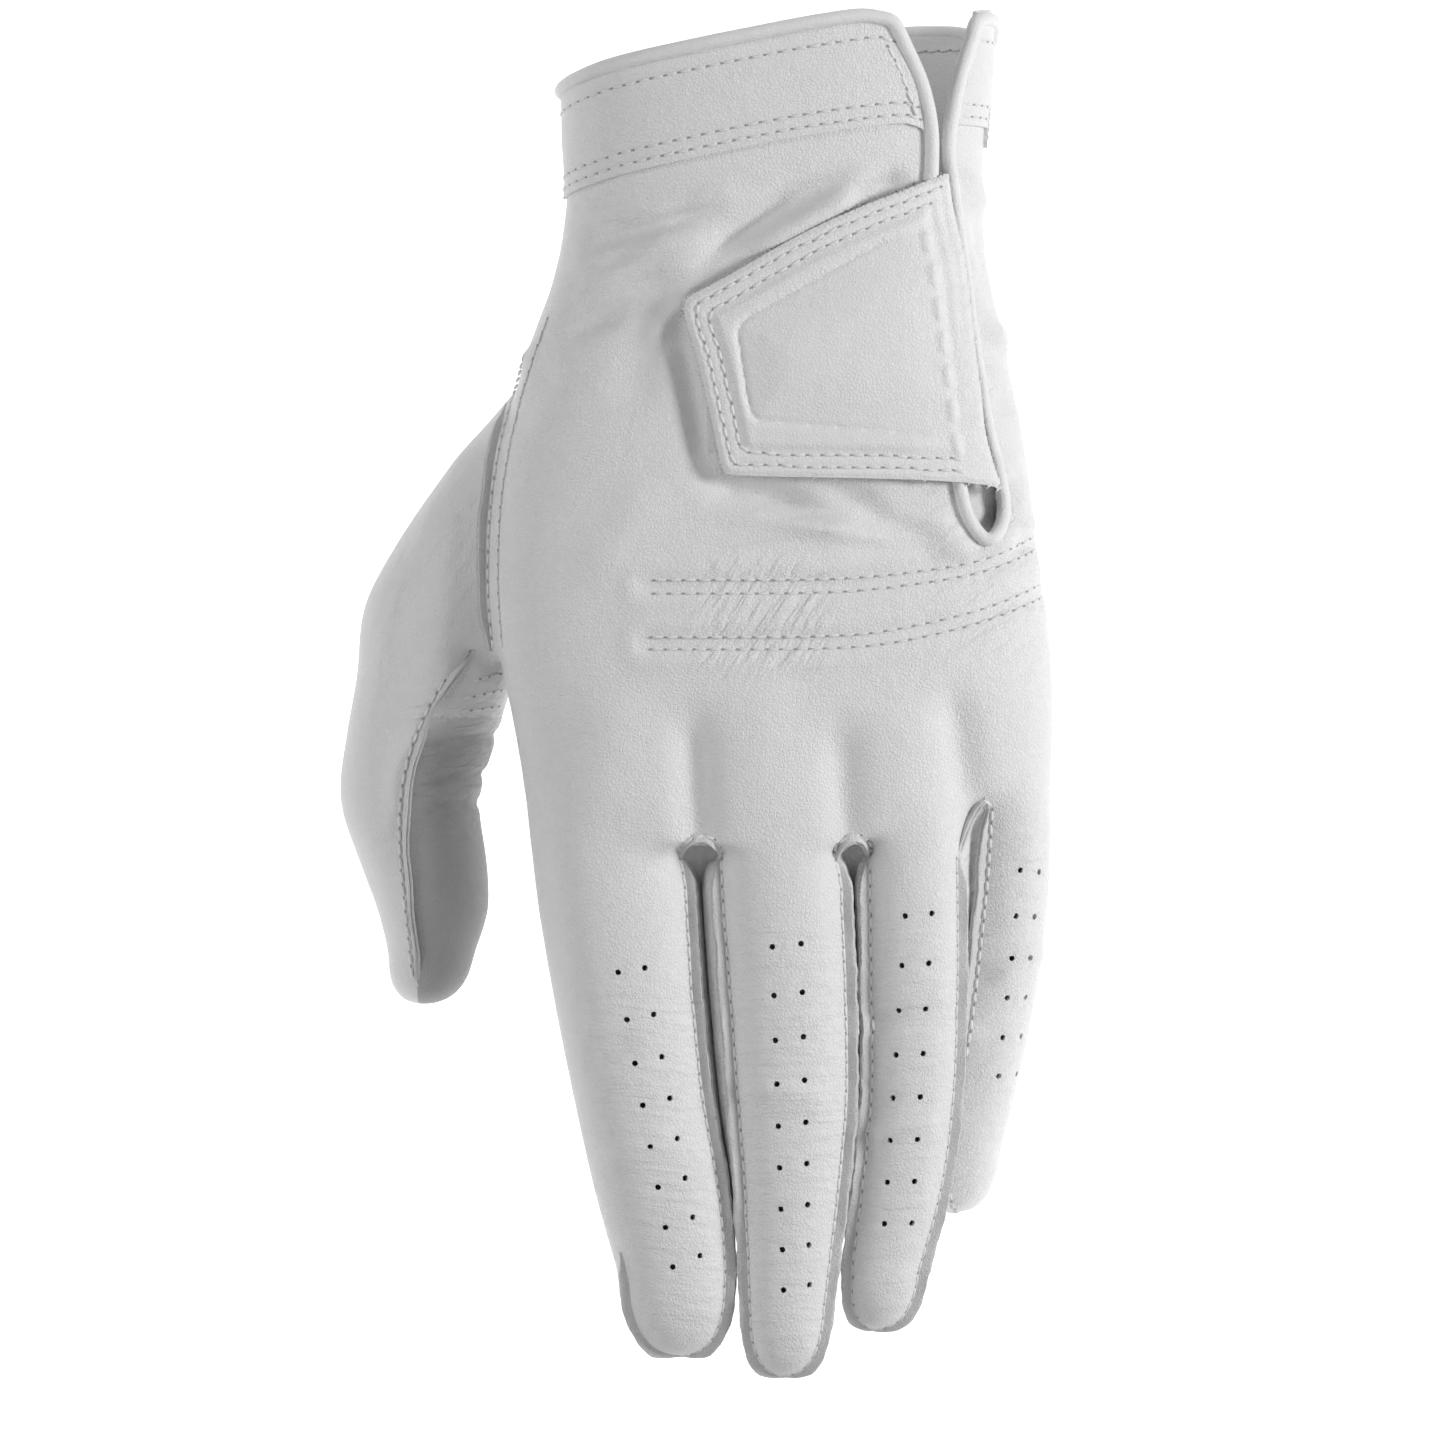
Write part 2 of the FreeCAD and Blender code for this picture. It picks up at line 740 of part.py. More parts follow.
def write(parts):
    os.makedirs("parts", exist_ok=True)
    for node, made in parts.items():
        made.Label = node
        made.Shape.exportStep(f"parts/{node}.step")
        room = made.Shape.optimalBoundingBox()
        print(
            f"{node}: {len(made.Shape.Solids)} solid(s), {made.Shape.Volume:.1f} mm3,"
            f" x {room.XMin:.1f} to {room.XMax:.1f}, y {room.YMin:.1f} to {room.YMax:.1f},"
            f" z {room.ZMin:.1f} to {room.ZMax:.1f}"
        )


glove = all_parts()
check(glove)
write(glove)
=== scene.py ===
"""A left-hand golf glove in white leather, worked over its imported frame."""

import math

import bpy
import numpy as np
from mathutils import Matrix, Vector
from mathutils.bvhtree import BVHTree


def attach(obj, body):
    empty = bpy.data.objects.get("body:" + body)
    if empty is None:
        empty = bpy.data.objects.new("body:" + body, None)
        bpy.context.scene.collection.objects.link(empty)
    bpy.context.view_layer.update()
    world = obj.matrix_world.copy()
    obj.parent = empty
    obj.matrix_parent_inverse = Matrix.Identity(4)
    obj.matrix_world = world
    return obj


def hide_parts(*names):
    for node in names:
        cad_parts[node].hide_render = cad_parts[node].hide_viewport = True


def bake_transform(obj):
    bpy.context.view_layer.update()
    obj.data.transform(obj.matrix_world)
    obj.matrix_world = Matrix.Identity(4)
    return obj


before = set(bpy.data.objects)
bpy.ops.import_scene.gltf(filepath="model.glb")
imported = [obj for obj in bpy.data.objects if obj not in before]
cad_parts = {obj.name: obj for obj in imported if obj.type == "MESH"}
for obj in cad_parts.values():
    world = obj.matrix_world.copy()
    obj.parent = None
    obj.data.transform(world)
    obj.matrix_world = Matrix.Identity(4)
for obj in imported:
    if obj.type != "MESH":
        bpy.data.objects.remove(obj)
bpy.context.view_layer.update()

bl_info = {
    "name": "Golf glove",
    "version": (1, 0, 0),
    "blender": (4, 5, 0),
    "location": "3D View > Sidebar > Glove",
    "description": "Sews a white leather golf glove piece by piece",
    "category": "Add Mesh",
}

MM = 0.001
FINGERS = ("index", "middle", "ring", "little")

# ---------------------------------------------------------------- shapes of the filled-out glove, in millimetres

# level, left edge, right edge, middle y, reach to the back, reach to the palm, tilt
HAND = (
    (17, -35.8, 36.2, 0.0, 17.5, 17.5, 0.0),
    (0, -35.3, 35.2, 0.0, 17.3, 17.3, 0.0),
    (-22, -34.5, 34.2, 0.0, 16.2, 16.5, 0.0),
    (-34, -36.4, 35.2, 0.0, 16.0, 17.0, 0.0),
    (-46, -40.6, 37.6, 0.0, 16.2, 18.0, 0.0),
    (-58, -44.2, 40.2, 0.0, 16.4, 18.8, 0.0),
    (-70, -46.2, 42.0, 0.0, 16.4, 19.0, 0.01),
    (-82, -47.0, 43.5, 0.0, 16.3, 19.0, 0.02),
    (-96, -46.0, 45.4, 0.0, 15.8, 18.5, 0.035),
    (-106, -43.8, 45.9, 0.5, 15.3, 16.4, 0.05),
    (-118, -41.8, 46.0, 1.0, 14.6, 14.2, 0.065),
    (-129, -40.4, 45.4, 1.5, 13.6, 11.6, 0.08),
)
HAND_SQUARENESS = 2.35

# level, middle x, half width, middle y, half depth
DIGITS = {
    "index": (
        (-95, -29.0, 13.4, 0.4, 12.2),
        (-118, -28.0, 13.4, 0.4, 12.8),
        (-131, -26.6, 13.7, 0.5, 12.5),
        (-154, -24.1, 12.6, 1.4, 11.4),
        (-170.6, -21.6, 11.8, 2.4, 10.7),
        (-187, -18.4, 11.3, 3.4, 10.1),
        (-199, -16.3, 10.0, 4.2, 9.2),
    ),
    "middle": (
        (-95, 0.2, 11.6, -0.8, 11.6),
        (-131, 0.6, 11.8, -0.8, 11.8),
        (-154, 1.9, 11.5, 0.2, 11.0),
        (-170.6, 2.6, 10.9, 1.2, 10.2),
        (-187, 2.5, 9.2, 2.2, 9.5),
        (-203, 1.9, 7.9, 3.3, 8.4),
    ),
    "ring": (
        (-95, 21.5, 9.4, 0.0, 10.3),
        (-131, 22.6, 8.9, 0.2, 10.0),
        (-154, 22.8, 8.7, 1.6, 9.7),
        (-170.6, 22.5, 8.3, 3.0, 9.2),
        (-187, 20.5, 8.0, 4.2, 8.6),
        (-198, 18.2, 7.1, 5.0, 7.8),
    ),
    "little": (
        (-95, 37.4, 7.6, 4.6, 9.0),
        (-121, 38.2, 7.5, 5.4, 8.6),
        (-131, 37.9, 7.8, 6.6, 8.4),
        (-146, 36.6, 7.9, 9.2, 8.3),
        (-159, 34.9, 7.5, 12.0, 8.2),
        (-171, 32.7, 7.1, 14.6, 7.8),
        (-180, 31.2, 6.4, 16.4, 7.0),
    ),
}
# tip level, tip x, tip y
TIPS = {
    "index": (-213.2, -15.6, 5.0),
    "middle": (-216.6, 1.2, 4.4),
    "ring": (-209.0, 16.4, 5.8),
    "little": (-190.3, 30.2, 17.8),
}
TIP_BLUNTNESS = 0.78
SPREAD = {"index": -0.075, "middle": 0.0, "ring": 0.085, "little": 0.14}
SPREAD_FROM = -127.0
# x, y, level, half width, half depth along the thumb
THUMB = (
    (-33.0, 7.0, -50, 7.5, 9.0),
    (-42.5, 9.0, -66, 11.5, 11.5),
    (-49.6, 10.6, -80, 14.3, 13.0),
    (-53.3, 11.4, -88, 14.8, 13.4),
    (-56.6, 12.4, -101, 13.2, 13.0),
    (-59.0, 13.4, -111, 12.6, 12.2),
    (-60.9, 14.2, -121, 11.7, 11.4),
    (-58.6, 15.0, -132, 10.6, 10.6),
    (-57.1, 15.6, -140, 9.2, 9.2),
    (-57.4, 16.0, -147, 7.2, 7.2),
)
THUMB_TIP = (-58.9, 16.4, -155.4)

# turn of each finger about its own length, in degrees, and where its side seams lie
TURN = {"index": 0.0, "middle": 0.0, "ring": 0.0, "little": 30.0}
SEAM_ANGLE = 58.0
WALL_SWEEP = 60.0
CROTCH = {"index": -131.0, "middle": -131.0, "ring": -131.0, "little": -121.5}
BEND_LENGTH = 19.0
THUMB_CREASE = -107.0

# the cuff's edge, from the thumb side over the back and over the palm side: x, level
CUFF_BACK = ((-36, -4.6), (-33, -2.8), (-28, -1.0), (-22.4, 0.3), (-10, 2.8), (5, 5.7), (13, 7.1), (15.6, 7.3),
             (17.6, 6.5), (18.8, 5.6))
CUFF_PALM = ((-36, -4.6), (-28, -1.6), (-10, 2.6), (8, 5.4), (22, 6.9), (30, 6.6), (34, 5.2), (36, 3.6))
LIP_LEFT = ((18.8, 5.6), (20.9, 3.0), (22.3, 0.3), (23.7, -2.6), (24.7, -5.6), (25.5, -9.4), (25.9, -12.7),
            (25.8, -16), (25.6, -18.6), (26.2, -30), (27.6, -46), (29.0, -60), (30.0, -67), (30.9, -72.0),
            (32.0, -75.4), (33.6, -77.6))
LIP_RIGHT = ((35.4, -77.9), (36.4, -76.0), (36.7, -73), (36.2, -69), (34.6, -63), (33.0, -56), (31.0, -42),
             (29.4, -30), (27.9, -19), (27.1, -15.8), (27.5, -11.5), (28.3, -6.8), (29.6, -0.8), (31.7, 4.6),
             (32.6, 7.4))
SIDE_SEAM = ((-40.2, -42), (-42.8, -49), (-45.0, -56), (-46.7, -64), (-47.8, -71), (-48.3, -78), (-48.4, -87),
             (-47.6, -96.4), (-46.2, -107.0))
THUMB_SEAM = ((-49.6, -96.4), (-53.6, -101), (-56.6, -106), (-58.8, -111), (-60.6, -117), (-61.3, -123),
              (-61.3, -130), (-60.7, -137), (-59.9, -145.0), (-59.4, -151.0))
TAB_EDGE = ((27.7, -18.3), (21.2, -21.2), (12.9, -24.5), (2.9, -29.2), (-8.9, -36.3), (-13.4, -38.5),
            (-14.9, -39.8), (-15.0, -42.1), (-12.7, -49.2), (-10.4, -59.8), (-9.2, -65.7), (-8.6, -67.4),
            (-7.4, -68.2), (18.8, -68.6), (28.8, -69.0), (35.0, -69.6), (36.9, -70.6), (35.2, -66.6),
            (33.2, -58.6), (32.1, -51), (30.9, -41), (29.7, -31.5), (28.4, -23.9))
TAB_GROOVE = ((16.7, -30.1), (-4.2, -42.0), (-5.6, -43.2), (-6.4, -44.9), (-4.9, -55.0), (-4.2, -58.0),
              (-3.0, -59.3), (23.2, -61.6))

# soft folds: start, end, half width and height; a negative height is a valley
FOLDS = (
    (-33, -35, -14, -28, 2.6, 1.3), (-34, -41, -18, -36, 2.4, -0.8), (-30, -30, -12, -24.5, 2.0, -0.9),
    (15, -21, -3, -31, 2.2, 1.1), (9, -20, -10, -30, 2.0, -1.0), (-2, -26, -20, -35, 2.8, 0.8),
    (20, -19.5, 12, -23, 1.6, -0.8), (-18, -38, -24, -56, 3.5, -0.6), (-16, -44, -12, -66, 2.2, -0.9),
    (-10, -69.5, 6, -73, 2.0, -1.0), (-6, -74, 14, -77, 2.6, 0.7), (8, -70.5, 24, -75, 1.8, -0.9),
    (12, -78, 28, -80, 2.4, -0.8), (16, -72, 31, -80, 2.2, 0.8), (-20, -70, -30, -84, 4.0, 0.5),
    (37.5, -72, 42, -80, 1.8, -0.7), (34, -80, 42, -76, 1.8, 0.6), (37, -66, 41, -72, 1.4, 0.5),
    (-12.5, -131, -14, -108, 3.4, -1.9), (12.4, -131, 10.5, -110, 3.2, -1.6), (31.8, -121, 29, -104, 3.0, -1.2),
    (-28, -124, -27, -104, 6.0, 0.8), (-1, -126, -3, -102, 6.0, 0.7), (22, -124, 20, -106, 5.0, 0.6),
    (-44, -60, -37, -50, 3.0, -0.8), (-58, -78, -50, -62, 3.0, 0.6), (-66, -110, -58, -92, 3.0, -0.5),
    (-45.6, -101, -52, -97, 2.0, -0.8), (33, -26, 36, -34, 1.6, -0.7), (31, -40, 37, -45, 1.8, 0.6),
    (33, -50, 39, -56, 1.6, -0.6), (31, -18, 35, -24, 1.5, 0.5), (-24, -160, -30, -164, 1.8, -0.35),
    (-17, -176, -28, -180, 2.0, 0.4), (-4, -168, 8, -170, 2.0, 0.35), (16, -158, 28, -156, 1.6, -0.35),
    (16, -176, 26, -174, 1.8, 0.35), (36, -150, 44, -146, 1.8, 0.5), (34, -160, 42, -156, 1.8, -0.5),
    (-35, -37, -22, -31, 1.1, -0.7), (-34, -45, -26, -42, 1.2, -0.6), (-24, -26, -8, -22, 1.1, 0.6),
    (2, -22, -12, -33, 1.1, -0.7), (-14, -38, -21, -46, 1.2, 0.6), (-4, -71, 12, -75, 1.0, -0.7),
    (2, -75.5, 20, -79, 1.1, 0.6), (14, -74, 27, -78, 1.0, -0.7), (35, -30, 40, -36, 1.0, -0.5),
    (35, -44, 41, -50, 1.0, 0.5), (34, -62, 40, -68, 1.0, -0.5), (-48, -54, -40, -47, 1.4, 0.5),
)
# folds of the palm, in the same way
PALM_FOLDS = (
    (-30, -100, 20, -112, 1.6, -1.0), (-38, -92, 30, -84, 1.6, -0.9), (-24, -60, -32, -92, 2.0, -1.0),
    (-30, -30, 28, -34, 2.2, -0.9), (-28, -26, 24, -25, 1.8, 0.6), (-12.5, -131, -12, -112, 2.6, -1.2),
    (12.5, -131, 12, -114, 2.6, -1.2), (31.5, -121, 30, -106, 2.6, -1.0), (-10, -48, 14, -60, 3.0, 0.7),
)
THUMB_CREASES = (-111.0, -117.3, -122.0)
# middles of the channels that the knuckle elastics press into the back
KNUCKLE_CHANNELS = (
    ((-21, -86.2), (10, -86.2), (33, -83.2), (44, -78)),
    ((-21, -95.4), (11, -95.4), (33, -91.2), (44.5, -86.2)),
)
# rows of sewing over the back: upper and lower knuckle elastic
KNUCKLE_ROWS = (
    ((-20, -85.1), (8, -85.1), (20, -84.1), (33, -82.2), (40, -79.2), (44.2, -76.6)),
    ((-20, -87.3), (8, -87.3), (20, -86.2), (33, -84.1), (40, -81.4), (44.4, -79.0)),
    ((-20.5, -94.4), (11, -94.4), (22, -92.7), (33, -90.1), (40, -87.4), (44.6, -85.0)),
    ((-20.5, -96.4), (11, -96.4), (22, -94.9), (33, -92.2), (40, -89.6), (44.8, -87.3)),
)
# first pair, last pair and number of pairs of air holes on each finger
AIR_HOLES = {
    "index": ((-25.9, -149.2), (-21.5, -148.5), (-17.0, -197.8), (-12.4, -196.0), 8),
    "middle": ((-0.7, -145.0), (4.1, -144.5), (1.2, -201.6), (5.6, -200.8), 9),
    "ring": ((21.1, -140.0), (25.6, -139.6), (17.8, -190.8), (22.4, -190.7), 8),
    "little": ((40.4, -132.7), (43.6, -133.0), (37.1, -167.0), (40.2, -166.8), 6),
}
HOLE_RADIUS = 0.52

# ---------------------------------------------------------------- curves and sections


def ease(t):
    """0 below 0, 1 above 1, smooth between."""
    t = np.clip(t, 0.0, 1.0)
    return t * t * (3 - 2 * t)


def unit(v):
    """Vectors brought to length one."""
    return v / np.maximum(np.linalg.norm(v, axis=-1, keepdims=True), 1e-9)


def smoothed(path, rounds):
    """A path, or what goes along it, evened out between its ends."""
    path = np.array(path, float)
    for _ in range(rounds):
        path[1:-1] = path[1:-1] * 0.5 + (path[:-2] + path[2:]) * 0.25
    return path


def along(table, level):
    """Columns of a table, read smoothly at a level; the first column is the level."""
    rows = np.array(table, float)
    rows = rows[np.argsort(rows[:, 0])]
    x, y = rows[:, 0], rows[:, 1:]
    slope = np.gradient(y, x, axis=0)
    level = np.atleast_1d(np.clip(level, x[0], x[-1]))
    i = np.clip(np.searchsorted(x, level) - 1, 0, len(x) - 2)
    h = (x[i + 1] - x[i])[:, None]
    t = ((level - x[i]) / (x[i + 1] - x[i]))[:, None]
    return (
        (2 * t**3 - 3 * t**2 + 1) * y[i]
        + (t**3 - 2 * t**2 + t) * h * slope[i]
        + (3 * t**2 - 2 * t**3) * y[i + 1]
        + (t**3 - t**2) * h * slope[i + 1]
    )


def digit_at(finger, level):
    """Middle x, half width, middle y and half depth of a finger at levels."""
    return along(DIGITS[finger], level)


def resample(path, step):
    """A polyline walked at an even step, ends kept."""
    path = np.array(path, float)
    run = np.concatenate(([0], np.cumsum(np.linalg.norm(np.diff(path, axis=0), axis=1))))
    count = max(2, int(round(run[-1] / step)) + 1)
    at = np.linspace(0, run[-1], count)
    return np.stack([np.interp(at, run, path[:, k]) for k in range(path.shape[1])], axis=1)


def rounded(path, rounds=3):
    """A polyline with its corners cut again and again, ends kept."""
    path = np.array(path, float)
    for _ in range(rounds):
        a, b = path[:-1], path[1:]
        cut = np.stack([a * 0.75 + b * 0.25, a * 0.25 + b * 0.75], axis=1).reshape(-1, path.shape[1])
        path = np.vstack([path[:1], cut, path[-1:]])
    return path


def oval(cx, cy, half_width, front, back, power, count=72):
    """x and y round a squarish oval, walked so that the loft faces outwards."""
    angle = np.linspace(0, 2 * math.pi, count, endpoint=False)
    c, s = np.cos(angle), np.sin(angle)
    x = cx + half_width * np.sign(c) * np.abs(c) ** (2 / power)
    y = cy + np.where(s < 0, front, back) * np.sign(s) * np.abs(s) ** (2 / power)
    return x, y


def loft(rings):
    """Points and faces of a closed loft through rings of equal count, from the top ring down."""
    count = len(rings[0])
    points = np.vstack(rings)
    faces = [tuple(range(count))]
    for r in range(len(rings) - 1):
        a, b = r * count, (r + 1) * count
        faces += [(a + i, b + i, b + (i + 1) % count, a + (i + 1) % count) for i in range(count)]
    last = (len(rings) - 1) * count
    faces.append(tuple(reversed(range(last, last + count))))
    return points, faces


def knuckle_rise(x):
    """How much higher the fingers part towards the little finger."""
    return np.interp(x, (12.7, 33.0), (0.0, 9.5))


def hand_rings():
    """Rings of the hand from the cuff down, parted higher towards the little finger."""
    rings = []
    for level in np.linspace(HAND[0][0], HAND[-1][0], 62):
        left, right, mid, front, back, tilt = along(HAND, level)[0]
        cx = (left + right) / 2
        x, y = oval(cx, mid, (right - left) / 2, front, back, HAND_SQUARENESS)
        y = y + tilt * (x - cx)
        z = level + knuckle_rise(x) * ease((-100 - level) / 29)
        rings.append(np.stack([x, y, z], axis=1))
    return rings


def digit_rings(finger):
    """Rings of one finger with its blunt tip, spread a little so that neighbours stay apart."""
    rows = DIGITS[finger]
    tip = TIPS[finger]
    rings = []
    for level in np.linspace(rows[0][0], rows[-1][0], 44):
        cx, hw, cy, hd = digit_at(finger, level)[0]
        x, y = oval(cx, cy, hw, hd, hd, 2.1, 40)
        rings.append(np.stack([x, y, np.full(len(x), level)], axis=1))
    _, cx, hw, cy, hd = rows[-1]
    for t in np.linspace(0.12, 0.985, 9):
        shrink = math.cos(t * math.pi / 2) ** TIP_BLUNTNESS
        drop = math.sin(t * math.pi / 2)
        x, y = oval(cx + (tip[1] - cx) * t, cy + (tip[2] - cy) * t, hw * shrink, hd * shrink, hd * shrink, 2.1, 40)
        rings.append(np.stack([x, y, np.full(len(x), rows[-1][0] + (tip[0] - rows[-1][0]) * drop)], axis=1))
    rings = [ring + np.stack([SPREAD[finger] * np.minimum(ring[:, 2] - SPREAD_FROM, 0) * -1,
                              np.zeros(len(ring)), np.zeros(len(ring))], axis=1) for ring in rings]
    return rings


def thumb_rings():
    """Rings of the thumb with its blunt tip."""
    rows = np.array(THUMB, float)
    table = rows[:, [2, 0, 1, 3, 4]]
    rings = []
    for level in np.linspace(rows[0, 2], rows[-1, 2], 46):
        cx, cy, hw, hd = along(table, level)[0]
        x, y = oval(cx, cy, hw, hd, hd, 2.1, 40)
        rings.append(np.stack([x, y, np.full(len(x), level)], axis=1))
    cx, cy, z, hw, hd = THUMB[-1]
    for t in np.linspace(0.12, 0.985, 9):
        shrink = math.cos(t * math.pi / 2) ** TIP_BLUNTNESS
        x, y = oval(cx + (THUMB_TIP[0] - cx) * t, cy + (THUMB_TIP[1] - cy) * t, hw * shrink, hd * shrink,
                    hd * shrink, 2.1, 40)
        rings.append(np.stack([x, y, np.full(len(x), z + (THUMB_TIP[2] - z) * math.sin(t * math.pi / 2))], axis=1))
    return rings


# ---------------------------------------------------------------- the skin: one smooth surface for all leather


def new_mesh_object(name, points, faces):
    """A mesh object from points in millimetres."""
    mesh = bpy.data.meshes.new(name)
    mesh.from_pydata((np.asarray(points) * MM).tolist(), [], [tuple(int(i) for i in f) for f in faces])
    mesh.update()
    obj = bpy.data.objects.new(name, mesh)
    bpy.context.collection.objects.link(obj)
    return obj


def pick(obj):
    """Only this object selected and active."""
    bpy.ops.object.select_all(action="DESELECT")
    obj.select_set(True)
    bpy.context.view_layer.objects.active = obj


def turn_outwards(obj):
    """All faces of an object's mesh turned outwards."""
    pick(obj)
    bpy.ops.object.mode_set(mode="EDIT")
    bpy.ops.mesh.select_all(action="SELECT")
    bpy.ops.mesh.normals_make_consistent(inside=False)
    bpy.ops.object.mode_set(mode="OBJECT")


def vertex_normals(co, quads):
    """Unit normals of points from the quads round them."""
    a, b, c, d = (co[quads[:, k]] for k in range(4))
    flat = np.cross(c - a, d - b)
    total = np.zeros_like(co)
    for k in range(4):
        for axis in range(3):
            total[:, axis] += np.bincount(quads[:, k], flat[:, axis], len(co))
    return total / np.maximum(np.linalg.norm(total, axis=1, keepdims=True), 1e-12)


def relax(co, quads, weight, rounds, strength=0.5):
    """Rounds of averaging with neighbours, each point by its own weight."""
    edges = np.vstack([quads[:, [k, (k + 1) % 4]] for k in range(4)])
    count = np.bincount(edges[:, 0], minlength=len(co)) + np.bincount(edges[:, 1], minlength=len(co))
    count = np.maximum(count, 1)
    for _ in range(rounds):
        total = np.zeros_like(co)
        for axis in range(3):
            total[:, axis] = np.bincount(edges[:, 0], co[edges[:, 1], axis], len(co)) + np.bincount(
                edges[:, 1], co[edges[:, 0], axis], len(co))
        co = co + (total / count[:, None] - co) * (strength * weight)[:, None]
    return co


def ridge(x, z, fold):
    """The height of one fold at points: round across, fading at its ends."""
    x0, z0, x1, z1, width, height = fold
    dx, dz = x1 - x0, z1 - z0
    length = math.hypot(dx, dz)
    t = ((x - x0) * dx + (z - z0) * dz) / length**2
    off = ((x - x0) * -dz + (z - z0) * dx) / length
    ends = ease((t + 0.25) / 0.5) * ease((1.25 - t) / 0.5)
    return height * ends * np.exp(-((off / width) ** 2))


def near_path(x, z, path):
    """Distance from points to a polyline over the back."""
    best = np.full(len(x), 1e9)
    path = np.array(path, float)
    for (x0, z0), (x1, z1) in zip(path[:-1], path[1:]):
        dx, dz = x1 - x0, z1 - z0
        t = np.clip(((x - x0) * dx + (z - z0) * dz) / (dx * dx + dz * dz + 1e-12), 0, 1)
        best = np.minimum(best, np.hypot(x - x0 - t * dx, z - z0 - t * dz))
    return best


def inside(x, z, outline):
    """Whether points lie in a closed outline, and their distance to it."""
    outline = np.array(outline, float)
    within = np.zeros(len(x), bool)
    for (x0, z0), (x1, z1) in zip(outline, np.roll(outline, -1, axis=0)):
        cross = (z0 > z) != (z1 > z)
        within ^= cross & (x < (x1 - x0) * (z - z0) / (z1 - z0 + 1e-12) + x0)
    return within, near_path(x, z, np.vstack([outline, outline[:1]]))


def nearest_on(path, x, z):
    """Nearest points of a polyline over the back."""
    path = np.array(path, float)
    best, bx, bz = np.full(len(x), 1e9), x.copy(), z.copy()
    for (x0, z0), (x1, z1) in zip(path[:-1], path[1:]):
        dx, dz = x1 - x0, z1 - z0
        t = np.clip(((x - x0) * dx + (z - z0) * dz) / (dx * dx + dz * dz + 1e-12), 0, 1)
        px, pz = x0 + t * dx, z0 + t * dz
        d = np.hypot(x - px, z - pz)
        better = d < best
        best[better], bx[better], bz[better] = d[better], px[better], pz[better]
    return bx, bz


def side_of_hand(x, z):
    """The y that parts the back of the hand from its palm side."""
    values = along(HAND, z)
    middle = (values[:, 0] + values[:, 1]) / 2
    return values[:, 2] + values[:, 5] * (x - middle)


def cuff_level(x, back):
    """Level of the cuff's edge at x, over the back or over the palm."""
    bx, bz = np.array(CUFF_BACK).T
    px, pz = np.array(CUFF_PALM).T
    over_back = np.where(x > bx[-1], 9.0, np.interp(x, bx, bz))
    return np.where(back, over_back, np.interp(x, px, pz))


SLIT = np.array([(17.8, 12.0)] + list(LIP_LEFT) + list(LIP_RIGHT) + [(33.4, 12.0)], float)


